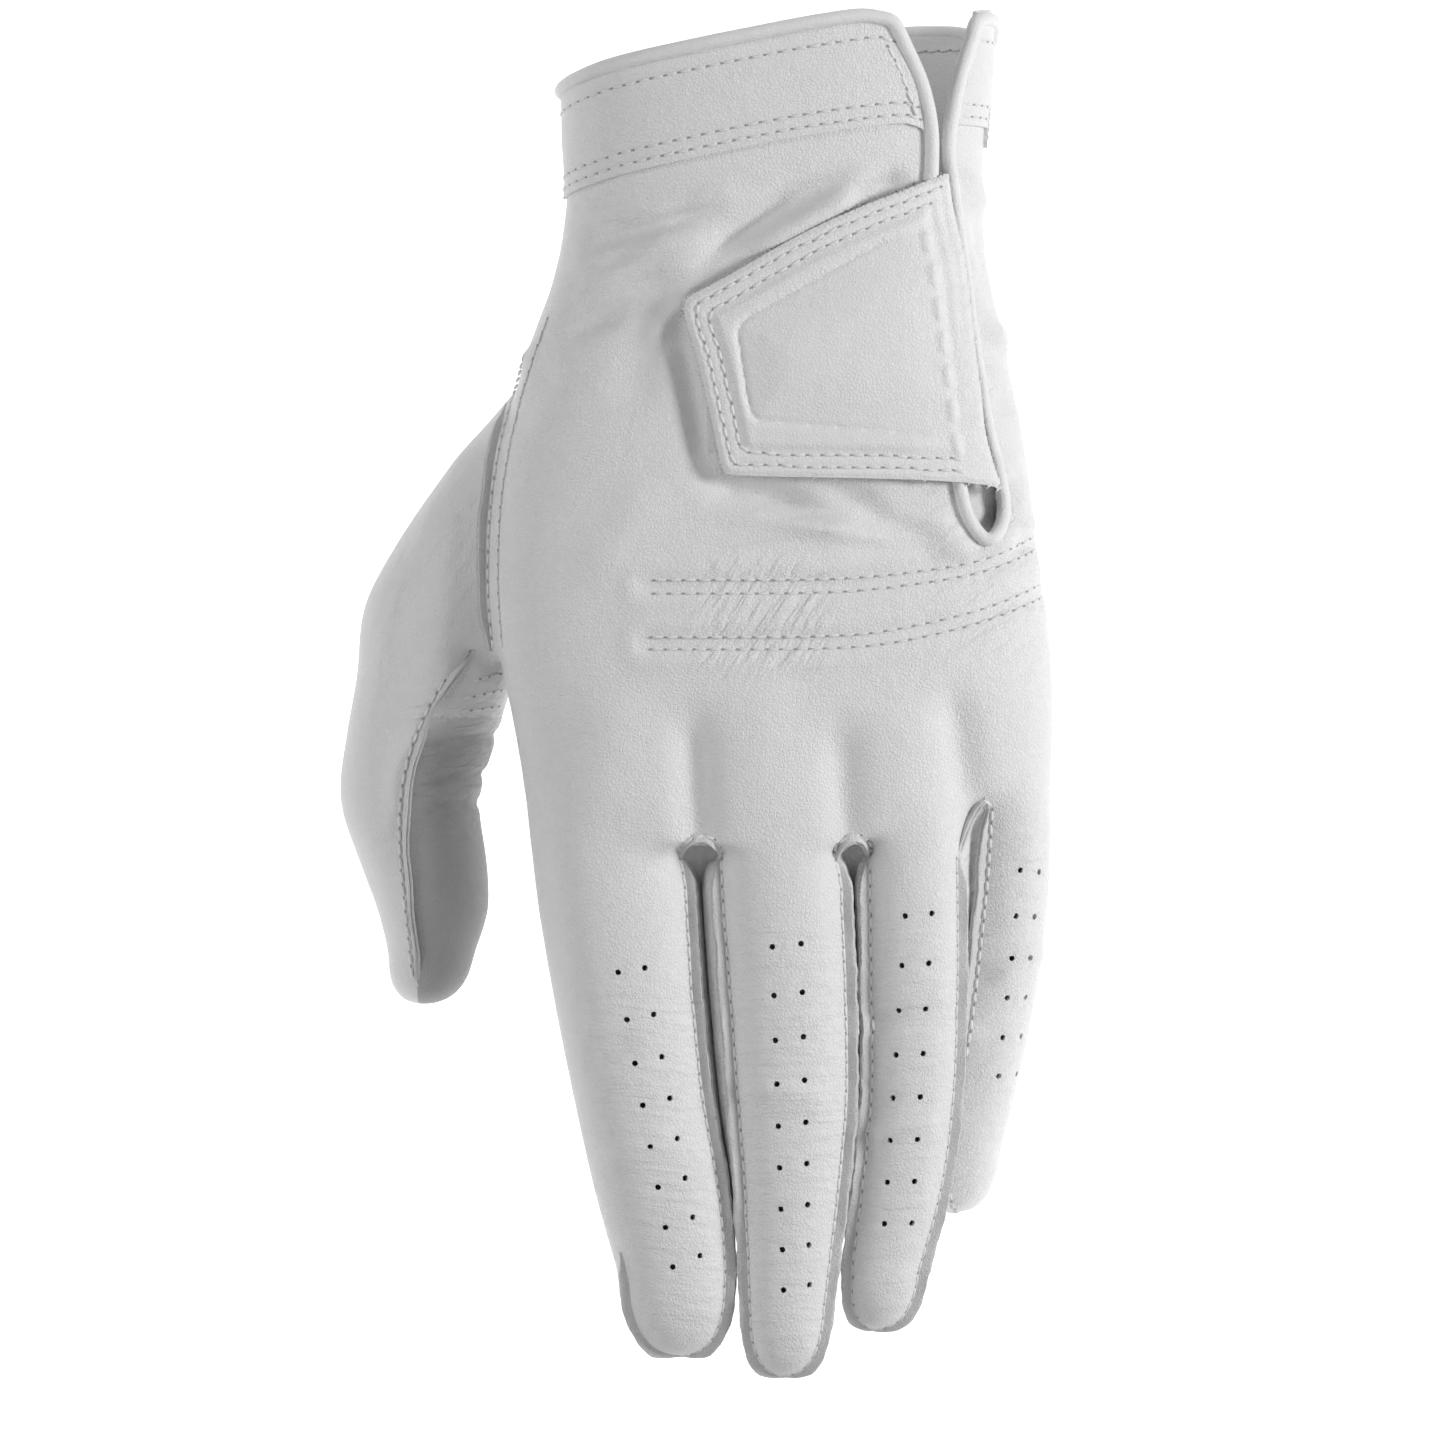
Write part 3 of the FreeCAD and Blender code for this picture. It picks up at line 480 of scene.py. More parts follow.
class Skin:
    """The glove's leather surface: points, normals, quads, and which piece each quad belongs to."""

    def __init__(self, voxel):
        parts = [hand_rings(), thumb_rings()] + [digit_rings(f) for f in FINGERS]
        points, faces, start = [], [], 0
        for rings in parts:
            p, f = loft(rings)
            points.append(p)
            faces += [tuple(i + start for i in face) for face in f]
            start += len(p)
        rough = new_mesh_object("rough", np.vstack(points), faces)
        turn_outwards(rough)
        remesh = rough.modifiers.new("remesh", "REMESH")
        remesh.mode = "VOXEL"
        remesh.voxel_size = voxel * MM
        bpy.ops.object.modifier_apply(modifier="remesh")
        mesh = rough.data
        co = np.empty(len(mesh.vertices) * 3)
        mesh.vertices.foreach_get("co", co)
        self.co = co.reshape(-1, 3) / MM
        quads = [tuple(p.vertices) for p in mesh.polygons if len(p.vertices) == 4]
        self.quads = np.array(quads)
        bpy.data.objects.remove(rough)
        self.shape()
        self.sort()
        self.open()
        self.normal = vertex_normals(self.co, self.quads)
        self.normal = relax(self.normal, self.quads, np.ones(len(self.co)), 2)
        self.normal = unit(self.normal)
        self.tree = BVHTree.FromPolygons(self.co.tolist(), self.quads.tolist())
        self.trees = {}

    def shape(self):
        """Smoothing, fingers brought together again, folds and channels."""
        co = self.soften(relax(self.co, self.quads, np.ones(len(self.co)), 8))
        self.limb = self.limbs(co, spread=True)
        for i, finger in enumerate(FINGERS):
            own = self.limb == i
            co[own, 0] += SPREAD[finger] * np.minimum(co[own, 2] - SPREAD_FROM, 0)
        self.limb_of_thumb(co)
        normal = vertex_normals(co, self.quads)
        self.close_gaps(co, normal)
        back = ease((-normal[:, 1] + 0.15) / 0.5)
        palm = ease((normal[:, 1] + 0.1) / 0.5)
        height = back * self.back_relief(co) * 1.25 - 0.7 * self.thumb_creases(co) + palm * self.palm_relief(co)
        self.co = relax(co + normal * height[:, None], self.quads, np.ones(len(co)), 1)

    def soften(self, co):
        """The joins of the fingers and the thumb smoothed more than the rest, the crotches left crisp."""
        x, _, z = co.T
        webs = np.exp(-(((z + 122) / 13) ** 2)) * ease((x + 46) / 6)
        crotches = np.minimum(*(near_path(x, z, ((side * 12.6, -131), (side * 12.6, -160))) for side in (-1, 1)))
        webs = webs * ease((crotches - 2.5) / 4)
        thumb_root = np.exp(-(((z + 80) / 26) ** 2)) * np.exp(-(((x + 47) / 10) ** 2)) * 0.8
        return relax(co, self.quads, np.clip(webs + thumb_root, 0, 1), 30)

    def close_gaps(self, co, normal):
        """The side walls of neighbouring fingers pushed out until they nearly meet, in place."""
        x, y, z = co.T
        depth = ease((-127.8 - z) / 4) * ease((z + 196) / 10)
        for i, (first, second) in enumerate(zip(FINGERS[:2], FINGERS[1:3])):
            a, b = digit_at(first, z), digit_at(second, z)
            between = (a[:, 0] + a[:, 1] + b[:, 0] - b[:, 1]) / 2 + 0.09 * (y - 2.0)
            for limb, side in ((i, 1), (i + 1, -1)):
                facing = ease((side * normal[:, 0] - 0.72) / 0.24) * depth * (self.limb == limb)
                gap = np.maximum(side * (between - x) - 0.14, 0) * ease((6.0 - np.abs(between - x)) / 1.5)
                co[:, 0] += side * gap * facing

    @staticmethod
    def back_relief(co):
        """Height of the folds and of the knuckle elastics' channels over the back."""
        x, _, z = co.T
        lift = np.zeros(len(co))
        for fold in FOLDS:
            lift += ridge(x, z, fold) * (1.7 if fold[4] < 2.3 else 1.0)
        band = np.minimum(*(near_path(x, z, path) for path in KNUCKLE_CHANNELS))
        lift -= 0.42 * np.exp(-((band / 1.5) ** 2))
        return lift + 0.28 * np.exp(-(((band - 3.2) / 1.3) ** 2))

    def thumb_creases(self, co):
        """Depth of the creases across the thumb."""
        x, _, z = co.T
        creases = 0.0
        for level in THUMB_CREASES:
            creases += np.exp(-(((z - level - 0.12 * (x + 52)) / 0.8) ** 2)) * ease((x + 60) / 4) * (self.limb == 4)
        return creases

    @staticmethod
    def palm_relief(co):
        """Height of the palm's folds and of the creases across the fingers' fronts."""
        x, _, z = co.T
        lines = list(PALM_FOLDS)
        for finger in FINGERS:
            for share in (0.36, 0.68):
                level = CROTCH[finger] + (TIPS[finger][0] - CROTCH[finger]) * share
                cx = digit_at(finger, level)[0][0]
                lines.append((cx - 9, level, cx + 9, level, 1.0, -0.55))
        return sum(ridge(x, z, line) for line in lines)

    def limbs(self, co, spread):
        """Which finger each point belongs to, -1 for the hand."""
        x, y, z = co.T
        limb = np.full(len(co), -1)
        best = np.full(len(co), 1e9)
        for i, finger in enumerate(FINGERS):
            values = digit_at(finger, z)
            shift = -SPREAD[finger] * np.minimum(z - SPREAD_FROM, 0) if spread else 0
            d = ((x - values[:, 0] - shift) / values[:, 1]) ** 2 + ((y - values[:, 2]) / values[:, 3]) ** 2
            near = d < best
            best[near] = d[near]
            limb[near] = i
        parting = CROTCH["index"] + np.interp(x, (14.0, 33.0), (0.0, 9.5)) + (3.5 if spread else 0.0)
        limb[(z > parting) | (x < -45.0) & (z > -165)] = -1
        return limb

    def limb_of_thumb(self, co):
        """Fingers kept where they still lie over their own tables, and the thumb."""
        x, _, z = co.T
        first = self.limbs(co, spread=False)
        keep = (self.limb >= 0) & (first >= 0)
        limb = np.where(keep, self.limb, -1)
        limb[(z < THUMB_CREASE) & (x < -44.9 - 0.06 * (z - THUMB_CREASE))] = 4
        self.limb = limb

    def sort(self):
        """Each quad's piece."""
        middle = self.co[self.quads].mean(axis=1)
        x, y, z = middle.T
        votes = self.limb[self.quads]
        limb = np.sort(votes, axis=1)[:, 0]
        piece = np.where(y < side_of_hand(x, z), "back", "palm").astype("U28")
        seam = np.array(SIDE_SEAM)[::-1]
        left_of_seam = x < np.interp(z, seam[:, 1], seam[:, 0])
        piece[(limb == -1) & left_of_seam & (z < SIDE_SEAM[0][1])] = "thumb_base"
        for i, finger in enumerate(FINGERS):
            own = limb == i
            cx, hw, cy, hd = digit_at(finger, z).T
            angle = np.degrees(np.arctan2((x - cx) / hw, -(y - cy) / hd)) - TURN[finger]
            angle = (angle + 180) % 360 - 180
            piece[own] = finger + "_front"
            piece[own & (np.abs(angle) < 90)] = finger + "_back"
            if finger != "little":
                piece[own & (angle > SEAM_ANGLE) & (angle < SEAM_ANGLE + WALL_SWEEP)] = finger + "_right_wall"
            if finger != "index":
                piece[own & (angle < -SEAM_ANGLE) & (angle > -SEAM_ANGLE - WALL_SWEEP)] = finger + "_left_wall"
            if finger != "little":
                piece[own & (angle > 0) & (angle <= SEAM_ANGLE)] = finger + "_back"
        own = limb == 4
        seam = np.array(THUMB_SEAM)[::-1]
        piece[own] = "thumb_front"
        piece[own & ((x < np.interp(z, seam[:, 1], seam[:, 0])) | (y > np.interp(z, (-155, -107), (16, 13))))] = (
            "thumb_back")
        self.piece = piece

    def open(self):
        """The wrist opening, the slit in the back and the air holes."""
        x, y, z = self.co.T
        back = y < side_of_hand(x, z)
        over = z > cuff_level(x, back)
        cut, _ = inside(x, z, SLIT)
        cut &= back & (z < 14)
        gone = over | cut
        keep = ~np.any(gone[self.quads], axis=1)
        rim = np.zeros(len(x), bool)
        rim[np.unique(self.quads[keep])] = True
        touched = np.zeros(len(x), bool)
        touched[np.unique(self.quads[~keep])] = True
        rim &= touched
        to_slit = rim & back & (inside(x, z, SLIT)[1] < 2.2)
        bx, bz = nearest_on(SLIT, x[to_slit], z[to_slit])
        self.co[to_slit, 0], self.co[to_slit, 2] = bx, bz
        to_cuff = rim & ~to_slit & (z > -12)
        self.co[to_cuff, 2] = cuff_level(x[to_cuff], back[to_cuff])
        holes = []
        tree = BVHTree.FromPolygons(self.co.tolist(), self.quads.tolist())
        for a, b, c, d, count in AIR_HOLES.values():
            for k in range(count):
                t = (k / (count - 1)) ** 0.94
                for first, last in ((a, c), (b, d)):
                    hx = first[0] + (last[0] - first[0]) * t
                    hz = first[1] + (last[1] - first[1]) * t
                    holes.append((hx, hz))
        used = set()
        for hx, hz in holes:
            hit = tree.ray_cast(Vector((hx, -60, hz)), Vector((0, 1, 0)))
            if hit[0] is None:
                continue
            centre = np.array(hit[0])
            face = self.quads[hit[2]]
            hub = int(face[np.argmin(np.linalg.norm(self.co[face] - centre, axis=1))])
            if hub in used:
                continue
            touching = np.where(np.any(self.quads == hub, axis=1))[0]
            keep[touching] = False
            ring = np.setdiff1d(np.unique(self.quads[touching]), [hub])
            used.update(int(v) for v in ring)
            out = self.co[ring] - centre
            n = np.array(hit[1])
            out -= np.outer(out @ n, n)
            out = unit(out)
            self.co[ring] = centre + out * HOLE_RADIUS - n * 0.12
        self.quads = self.quads[keep]
        self.piece = self.piece[keep]

    def drop(self, x, z, side=1, start=-70.0):
        """Where a line along y meets the skin, with its outward normal; side 1 looks at the back."""
        hit = self.tree.ray_cast(Vector((x, start * side, z)), Vector((0, side, 0)))
        if hit[0] is None:
            return None
        return np.array(hit[0]), self.normal_at(hit)

    def normal_at(self, hit):
        """The smooth normal where a ray or a nearest search meets the skin."""
        corners = self.quads[hit[2]]
        weight = 1 / (np.linalg.norm(self.co[corners] - np.array(hit[0]), axis=1) + 0.05)
        n = (self.normal[corners] * weight[:, None]).sum(axis=0)
        return n / np.linalg.norm(n)

    def project(self, path, side=1):
        """A path over the back laid on the skin: points and normals; points that miss are left out."""
        found = [self.drop(float(p[0]), float(p[1]), side) for p in path]
        found = [f for f in found if f is not None]
        return np.array([f[0] for f in found]), np.array([f[1] for f in found])

    def round_the_wrist(self, angle, level, centre=(-0.5, 0.0)):
        """Where a level line from outside meets the skin."""
        way = Vector((-math.cos(angle), -math.sin(angle), 0))
        start = Vector((centre[0], centre[1], level)) - way * 90
        hit = self.tree.ray_cast(start, way)
        if hit[0] is None or (hit[0] - Vector((centre[0], centre[1], level))).dot(way) > 0:
            return None
        return np.array(hit[0]), self.normal_at(hit)

    def nearest(self, points, finger=""):
        """The nearest places to points, with their normals, on the whole skin or on one finger and the back."""
        if finger not in self.trees:
            rows = np.where(np.char.startswith(self.piece, finger) | (self.piece == "back"))[0]
            self.trees[finger] = rows, BVHTree.FromPolygons(self.co.tolist(), self.quads[rows].tolist())
        rows, tree = self.trees[finger]
        found = [tree.find_nearest(Vector(p)) for p in points]
        return (np.array([tuple(f[0]) for f in found]),
                np.array([self.normal_at((f[0], f[1], rows[f[2]])) for f in found]))


_skin = {}


def skin():
    """The skin, worked out once."""
    if "skin" not in _skin:
        _skin["skin"] = Skin(bpy.context.scene.glove_sizes.surface_detail / MM)
    return _skin["skin"]


# ---------------------------------------------------------------- turning shapes into pieces


def finish_mesh(obj, material, loop_normals=None):
    """Material, smooth shading and, where given, the loops' own normals."""
    obj.data.materials.clear()
    obj.data.materials.append(material)
    obj.data.shade_smooth()
    if loop_normals is not None:
        obj.data.normals_split_custom_set([tuple(n) for n in loop_normals])
    return obj


def border_of(faces, count):
    """The edges that only one of the faces has."""
    edges = np.vstack([faces[:, [k, (k + 1) % 4]] for k in range(4)])
    key = np.sort(edges, axis=1)
    key = key[:, 0] * (count + 1) + key[:, 1]
    _, where, times = np.unique(key, return_index=True, return_counts=True)
    return edges[where[times == 1]]


def thick_sheet(name, co, normal, faces, lower, upper, material):
    """A closed sheet of leather or cloth from one surface: lifted from lower to upper along its normals."""
    faces = np.asarray(faces)
    used, faces = np.unique(faces, return_inverse=True)
    faces = faces.reshape(-1, 4)
    p, n = co[used], normal[used]
    count = len(used)
    points = np.vstack([p + n * upper, p + n * lower])
    border = border_of(faces, count)
    rim = np.stack([border[:, 1], border[:, 0], border[:, 0] + count, border[:, 1] + count], axis=1)
    all_faces = np.vstack([faces, faces[:, ::-1] + count, rim])
    obj = new_mesh_object(name, points, all_faces)
    both = np.vstack([n, -n])
    loops = both[all_faces.reshape(-1)]
    a, b, c = (points[rim[:, k]] for k in range(3))
    flat = np.cross(b - a, c - b)
    flat = unit(flat)
    loops[len(loops) - 4 * len(rim):] = np.repeat(flat, 4, axis=0)
    return finish_mesh(obj, material, loops)


def leather_piece(name, key, material):
    """One piece of the skin as a closed sheet of leather."""
    s = skin()
    thickness = bpy.context.scene.glove_sizes.leather / MM
    return thick_sheet(name, s.co, s.normal, s.quads[s.piece == key], -thickness, 0.0, material)


def grid_faces(rows, columns):
    """Quads of a grid of points."""
    i, j = np.meshgrid(np.arange(rows - 1), np.arange(columns - 1), indexing="ij")
    a = (i * columns + j).reshape(-1)
    return np.stack([a, a + 1, a + columns + 1, a + columns], axis=1)


def turned_out(faces, co, normal):
    """The faces of a grid, turned over if they look against the points' normals."""
    a, b, c = co[faces[0][:3]]
    return faces if np.cross(b - a, c - b) @ normal[faces[0][0]] > 0 else faces[:, ::-1]


def grid_normals(co, rows, columns):
    """Normals of a grid of points, from its neighbours along both ways."""
    p = co.reshape(rows, columns, 3)
    du, dv = np.gradient(p, axis=0), np.gradient(p, axis=1)
    n = np.cross(dv, du)
    n = unit(n)
    return n.reshape(-1, 3)


def cord_of(name, path, radius, material, sides=12):
    """A rolled edge: a round tube along a path with closed ends."""
    path = np.array(path, float)
    curve = bpy.data.curves.new(name, "CURVE")
    curve.dimensions = "3D"
    curve.bevel_depth = radius * MM
    curve.bevel_resolution = sides // 4
    curve.use_fill_caps = True
    spline = curve.splines.new("POLY")
    spline.points.add(len(path) - 1)
    for point, place in zip(spline.points, path):
        point.co = (*(place * MM), 1)
    obj = bpy.data.objects.new(name, curve)
    bpy.context.collection.objects.link(obj)
    pick(obj)
    bpy.ops.object.convert(target="MESH")
    obj = bpy.context.view_layer.objects.active
    return finish_mesh(obj, material)


def standing_edge(name, runs, material, height=1.35, thick=0.5, root=0.7):
    """Two cut edges of leather standing up from a seam. Each run is points, normals and ways out."""
    points, faces, start = [], [], 0
    profile = np.array(((-1, -1), (-1, 0.55), (-0.92, 0.92), (-0.6, 1.0), (-0.2, 0.9), (0, 0.62), (0.2, 0.9),
                        (0.6, 1.0), (0.92, 0.92), (1, 0.55), (1, -1)))
    count = len(profile)
    for place, normal, way in runs:
        place, normal, way = (np.array(v, float) for v in (place, normal, way))
        tangent = np.gradient(place, axis=0)
        tangent = unit(tangent)
        across = np.cross(way, tangent)
        across = unit(across)
        walk = np.arange(len(place))
        wave = 1 + 0.05 * np.sin(walk * 0.61) + 0.05 * np.sin(walk * 0.23 + 1.2) + 0.04 * np.sin(walk * 1.7)
        fade = ease(np.minimum(walk, walk[::-1]) / 7.0) * 0.9 + 0.1
        for k in range(len(place)):
            w = profile[:, 0] * thick
            d = np.where(profile[:, 1] < 0, -root, profile[:, 1] * height * wave[k] * fade[k])
            sway = 0.12 * math.sin(k * 0.41) * np.maximum(profile[:, 1], 0)
            points.append(place[k] + np.outer(w + sway, across[k]) + np.outer(d, way[k]))
        for k in range(len(place) - 1):
            a = start + k * count
            faces += [(a + i, a + (i + 1) % count, a + count + (i + 1) % count, a + count + i) for i in range(count)]
        faces.append(tuple(start + i for i in reversed(range(count))))
        faces.append(tuple(start + (len(place) - 1) * count + i for i in range(count)))
        start += len(place) * count
    obj = new_mesh_object(name, np.vstack(points), faces)
    turn_outwards(obj)
    finish_mesh(obj, material)
    pick(obj)
    bpy.ops.object.shade_smooth_by_angle(angle=math.radians(50))
    return obj


def stitch_shape():
    """One stitch, a small rounded bar along x, as points and faces in millimetres."""
    bpy.ops.object.select_all(action="DESELECT")
    bpy.ops.mesh.primitive_uv_sphere_add(segments=8, ring_count=5, radius=1.0)
    ball = bpy.context.view_layer.objects.active
    bpy.ops.object.mode_set(mode="EDIT")
    bpy.ops.mesh.select_all(action="SELECT")
    bpy.ops.transform.rotate(value=math.pi / 2, orient_axis="Y", center_override=(0, 0, 0))
    bpy.ops.object.mode_set(mode="OBJECT")
    co = np.array([v.co for v in ball.data.vertices])
    faces = [tuple(p.vertices) for p in ball.data.polygons]
    bpy.data.objects.remove(ball)
    co[:, 0] = np.sign(co[:, 0]) * np.abs(co[:, 0]) ** 0.6
    return co, faces


def sewn(name, runs, material, pitch=None, width=0.27, height=0.27, gap=0.62, sink=0.03):
    """A row of stitches along each run of points and normals, with flat dark discs between them as painted shade of the
    needle holes, as one object.
    """
    shape, shape_faces = stitch_shape()
    turns = np.linspace(0, math.tau, 7)[:-1]
    # flat discs between the stitches, coloured dark as painted shade inside the needle holes
    hole_shade = np.stack([np.append(np.cos(turns) * 0.36, 0), np.append(np.sin(turns) * 0.2, 0)], axis=1)
    hole_shade_faces = [(i, (i + 1) % 6, 6) for i in range(6)]
    hole_shades = []
    pitch = pitch or bpy.context.scene.glove_sizes.stitch_pitch / MM
    half = (pitch - gap) / 2
    points, faces, start = [], [], 0
    for place, normal in runs:
        both = resample(np.hstack([place, normal]), pitch)
        place, normal = both[:, :3], both[:, 3:]
        for k in range(len(place) - 1):
            middle = (place[k] + place[k + 1]) / 2
            n = normal[k] + normal[k + 1]
            n = unit(n)
            t = place[k + 1] - place[k]
            t -= n * (t @ n)
            t = unit(t)
            b = np.cross(n, t)
            slant = 0.1 * (1 if k % 2 else 0.4)
            t2 = t + b * slant
            t2 = unit(t2)
            b2 = np.cross(n, t2)
            bow = shape.copy()
            lift = height * bow[:, 2] + sink - 0.12 * bow[:, 0] ** 2
            points.append(middle + np.outer(bow[:, 0] * half, t2) + np.outer(bow[:, 1] * width, b2) + np.outer(lift, n))
            faces += [tuple(i + start for i in f) for f in shape_faces]
            start += len(shape)
            end = (place[k] + normal[k] * (sink + 0.035), t, b)
            hole_shades.append(end[0] + np.outer(hole_shade[:, 0], t) + np.outer(hole_shade[:, 1], b))
    stitch_faces = len(faces)
    for points_of_hole_shade in hole_shades:
        points.append(points_of_hole_shade)
        faces += [tuple(i + start for i in f) for f in hole_shade_faces]
        start += len(points_of_hole_shade)
    obj = new_mesh_object(name, np.vstack(points), faces)
    finish_mesh(obj, material)
    obj.data.materials.append(finish("needle_hole_shade"))
    for polygon in obj.data.polygons[stitch_faces:]:
        polygon.material_index = 1
    return obj


def place_on(piece, body, slot, *nodes, bend=None):
    """Attaches one piece to its body's empty and hides its CAD nodes; with bend, its transform is only baked into its
    mesh and it is attached to nothing. slot is not used, nor are the two ends in bend.
    """
    if bend:
        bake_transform(piece)
    else:
        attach(piece, body)
    if nodes:
        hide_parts(*nodes)
    return piece


def finger_bend(finger):
    """Where a finger's leather starts to follow the finger, and where it does so wholly."""
    top = CROTCH[finger] - 0.8
    cx, _, cy, _ = digit_at(finger, top)[0]
    return (cx * MM, cy * MM, top * MM), (cx * MM, cy * MM, (top - BEND_LENGTH) * MM)


THUMB_BEND = ((-0.058, 0.013, (THUMB_CREASE - 0.8) * MM), (-0.058, 0.013, (THUMB_CREASE - 20.8) * MM))

# ---------------------------------------------------------------- shader sums


class Field:
    """A socket of a shader tree that can be used in sums and products."""

    def __init__(self, tree, socket):
        self.tree, self.socket = tree, socket

    def math(self, operation, *values):
        """A Math node on fields and numbers."""
        return shader_node(self.tree, "ShaderNodeMath", {"operation": operation}, *values)

    def __add__(self, other):
        return self.math("ADD", self, other)

    def __sub__(self, other):
        return self.math("SUBTRACT", self, other)

    def __rsub__(self, other):
        return self.math("SUBTRACT", other, self)

    def __mul__(self, other):
        return self.math("MULTIPLY", self, other)

    __radd__, __rmul__ = __add__, __mul__

    def span(self, low, high):
        """0 below low, 1 above high, smooth between."""
        return shader_node(self.tree, "ShaderNodeMapRange", {"interpolation_type": "SMOOTHSTEP"}, self, low, high, 0, 1)


def shader_node(tree, kind, settings, *values, output=0, **named):
    """A node with its settings, then the values or links of its sockets in order or by name."""
    node = tree.nodes.new(kind)
    for key, value in settings.items():
        setattr(node, key, value)
    slots = list(zip([s for s in node.inputs if s.enabled], values))
    slots += [(node.inputs[key.replace("_", " ")], value) for key, value in named.items()]
    for socket, value in slots:
        if isinstance(value, Field):
            tree.links.new(value.socket, socket)
        elif value is not None:
            socket.default_value = value
    outputs = [s for s in node.outputs if s.enabled]
    return Field(tree, outputs[output])


class Finish:
    """A material with its principled shader and the pattern sources that the finishes share."""

    def __init__(self, name, colour, roughness, specular=0.35, sheen=0.0):
        self.material = bpy.data.materials.new(name)
        self.material.use_nodes = True
        self.tree = self.material.node_tree
        self.shader = self.tree.nodes["Principled BSDF"]
        self.colour = colour
        self.shader.inputs["Base Color"].default_value = (*colour, 1)
        self.shader.inputs["Roughness"].default_value = roughness
        self.shader.inputs["Specular IOR Level"].default_value = specular
        self.shader.inputs["Sheen Weight"].default_value = sheen
        self.material.diffuse_color = (*colour, 1)
        self.place = self.node("ShaderNodeTexCoord", {}, output=3)
        self.millimetres = self.node("ShaderNodeVectorMath", {"operation": "SCALE"}, self.place, Scale=1 / MM)
        self.x, self.y, self.z = (self.node("ShaderNodeSeparateXYZ", {}, self.millimetres, output=k) for k in range(3))

    def node(self, kind, settings, *values, output=0, **named):
        """A node in this finish's own tree."""
        return shader_node(self.tree, kind, settings, *values, output=output, **named)

    def noise(self, scale, detail=2.0, rough=0.5):
        """Soft noise, so many to the millimetre."""
        return self.node("ShaderNodeTexNoise", {}, self.millimetres, Scale=scale, Detail=detail, Roughness=rough)

    def stretched(self, angle, along_scale, across_scale):
        """Noise drawn out along a direction over the back: fine folds."""
        turned = self.node("ShaderNodeMapping", {"vector_type": "TEXTURE"}, self.millimetres,
                           Rotation=(0, math.radians(-angle), 0), Scale=(1 / along_scale, 3.3, 1 / across_scale))
        return self.node("ShaderNodeTexNoise", {}, turned, Scale=1.0, Detail=2.0, Roughness=0.5)

    def window(self, x0, x1, z0, z1, soft=3.0):
        """1 inside a box over the back, fading at its sides."""
        return (self.x.span(x0 - soft, x0 + soft) * (1 - self.x.span(x1 - soft, x1 + soft))
                * self.z.span(z0 - soft, z0 + soft) * (1 - self.z.span(z1 - soft, z1 + soft)))

    def bump(self, height, strength=1.0, distance=0.0002):
        """The surface's fine relief."""
        result = self.node("ShaderNodeBump", {}, Strength=strength, Distance=distance, Height=height)
        self.tree.links.new(result.socket, self.shader.inputs["Normal"])

    def tint(self, mask, amount):
        """Base colour darkened where the mask is 1."""
        dark = tuple(c * (1 - amount) for c in self.colour)
        mixed = self.node("ShaderNodeMix", {"data_type": "RGBA"}, mask, (*self.colour, 1), (*dark, 1))
        self.tree.links.new(mixed.socket, self.shader.inputs["Base Color"])

    def rough(self, value):
        """Roughness that changes over the surface."""
        self.tree.links.new(value.socket, self.shader.inputs["Roughness"])


# creases too fine to model: box over the back, direction in degrees, stretch, height
FINE_CREASES = (
    (-13, 8, -100, -82, 56, 0.14, 0.62, 0.75), (-16, 34, -84, -72, 16, 0.06, 0.42, 0.3),
    (24, 46, -100, -66, 28, 0.07, 0.5, 0.45), (-36, 20, -36, -19, 16, 0.05, 0.35, 0.4),
    (-34, -12, -62, -30, 32, 0.05, 0.4, 0.25), (28, 46, -60, -16, 8, 0.06, 0.5, 0.35),
    (-38, -8, -212, -150, -6, 0.09, 0.6, 0.3), (-8, 12, -216, -140, 3, 0.09, 0.6, 0.3),
    (14, 30, -208, -140, 8, 0.09, 0.6, 0.3), (28, 48, -190, -124, 20, 0.08, 0.55, 0.5),
    (-60, -44, -128, -104, 7, 0.07, 0.8, 0.8), (-72, -44, -106, -60, 55, 0.05, 0.35, 0.3),
)


def leather(name, colour, roughness=0.52, grain=1.0, creases=True, raw=0.0, shade=0.0):
    """Fine pebbled sheepskin: cells of grain, pores, soft undulation and fine creases, with painted shade in the
    grain's crevices; with shade, also a painted shadow low on the piece.
    """
    f = Finish(name, colour, roughness, specular=0.32, sheen=0.04)
    warp = f.noise(0.9, 1.0)
    cells = f.node("ShaderNodeTexVoronoi", {"feature": "DISTANCE_TO_EDGE"}, f.millimetres, Scale=1.55)
    small = f.node("ShaderNodeTexVoronoi", {"feature": "F1"}, f.millimetres, Scale=3.1)
    pebble = cells.span(0.0, 0.22) * 0.55 + (1 - small) * 0.3 + f.noise(5.0, 3.0) * 0.35
    rolling = f.noise(0.22, 2.0)
    height = pebble * (0.3 * grain) * (0.55 + warp) + rolling * 0.6
    if creases:
        for x0, x1, z0, z1, angle, length, across, amount in FINE_CREASES:
            lines = f.stretched(angle, length, across)
            height = height + (lines.span(0.32, 0.68) - 0.5) * f.window(x0, x1, z0, z1) * (amount * 1.5)
    if raw:
        height = height + f.noise(3.5, 4.0, 0.7) * raw
    f.bump(height, 0.75, 0.00045)
    # darker in the grain's crevices, where the pebbles' bump is low, as painted shade; darker in soft random patches
    # and along the rolling undulation as the leather's own tone
    mottle_and_crevice_shade = (1 - cells.span(0.0, 0.12)) * 0.35 + f.noise(0.06, 3.0) * 0.5 + rolling * 0.25
    # painted shadow: below the level -116 mm, fading up to -102 mm, the colour is darkened by the share shade
    if shade:
        f.tint(mottle_and_crevice_shade * (0.07 / shade) + (1 - f.z.span(-116.0, -102.0)), shade)
    else:
        f.tint(mottle_and_crevice_shade, 0.07)
    f.rough(f.noise(0.5, 3.0) * 0.16 + (roughness - 0.08))
    return f.material


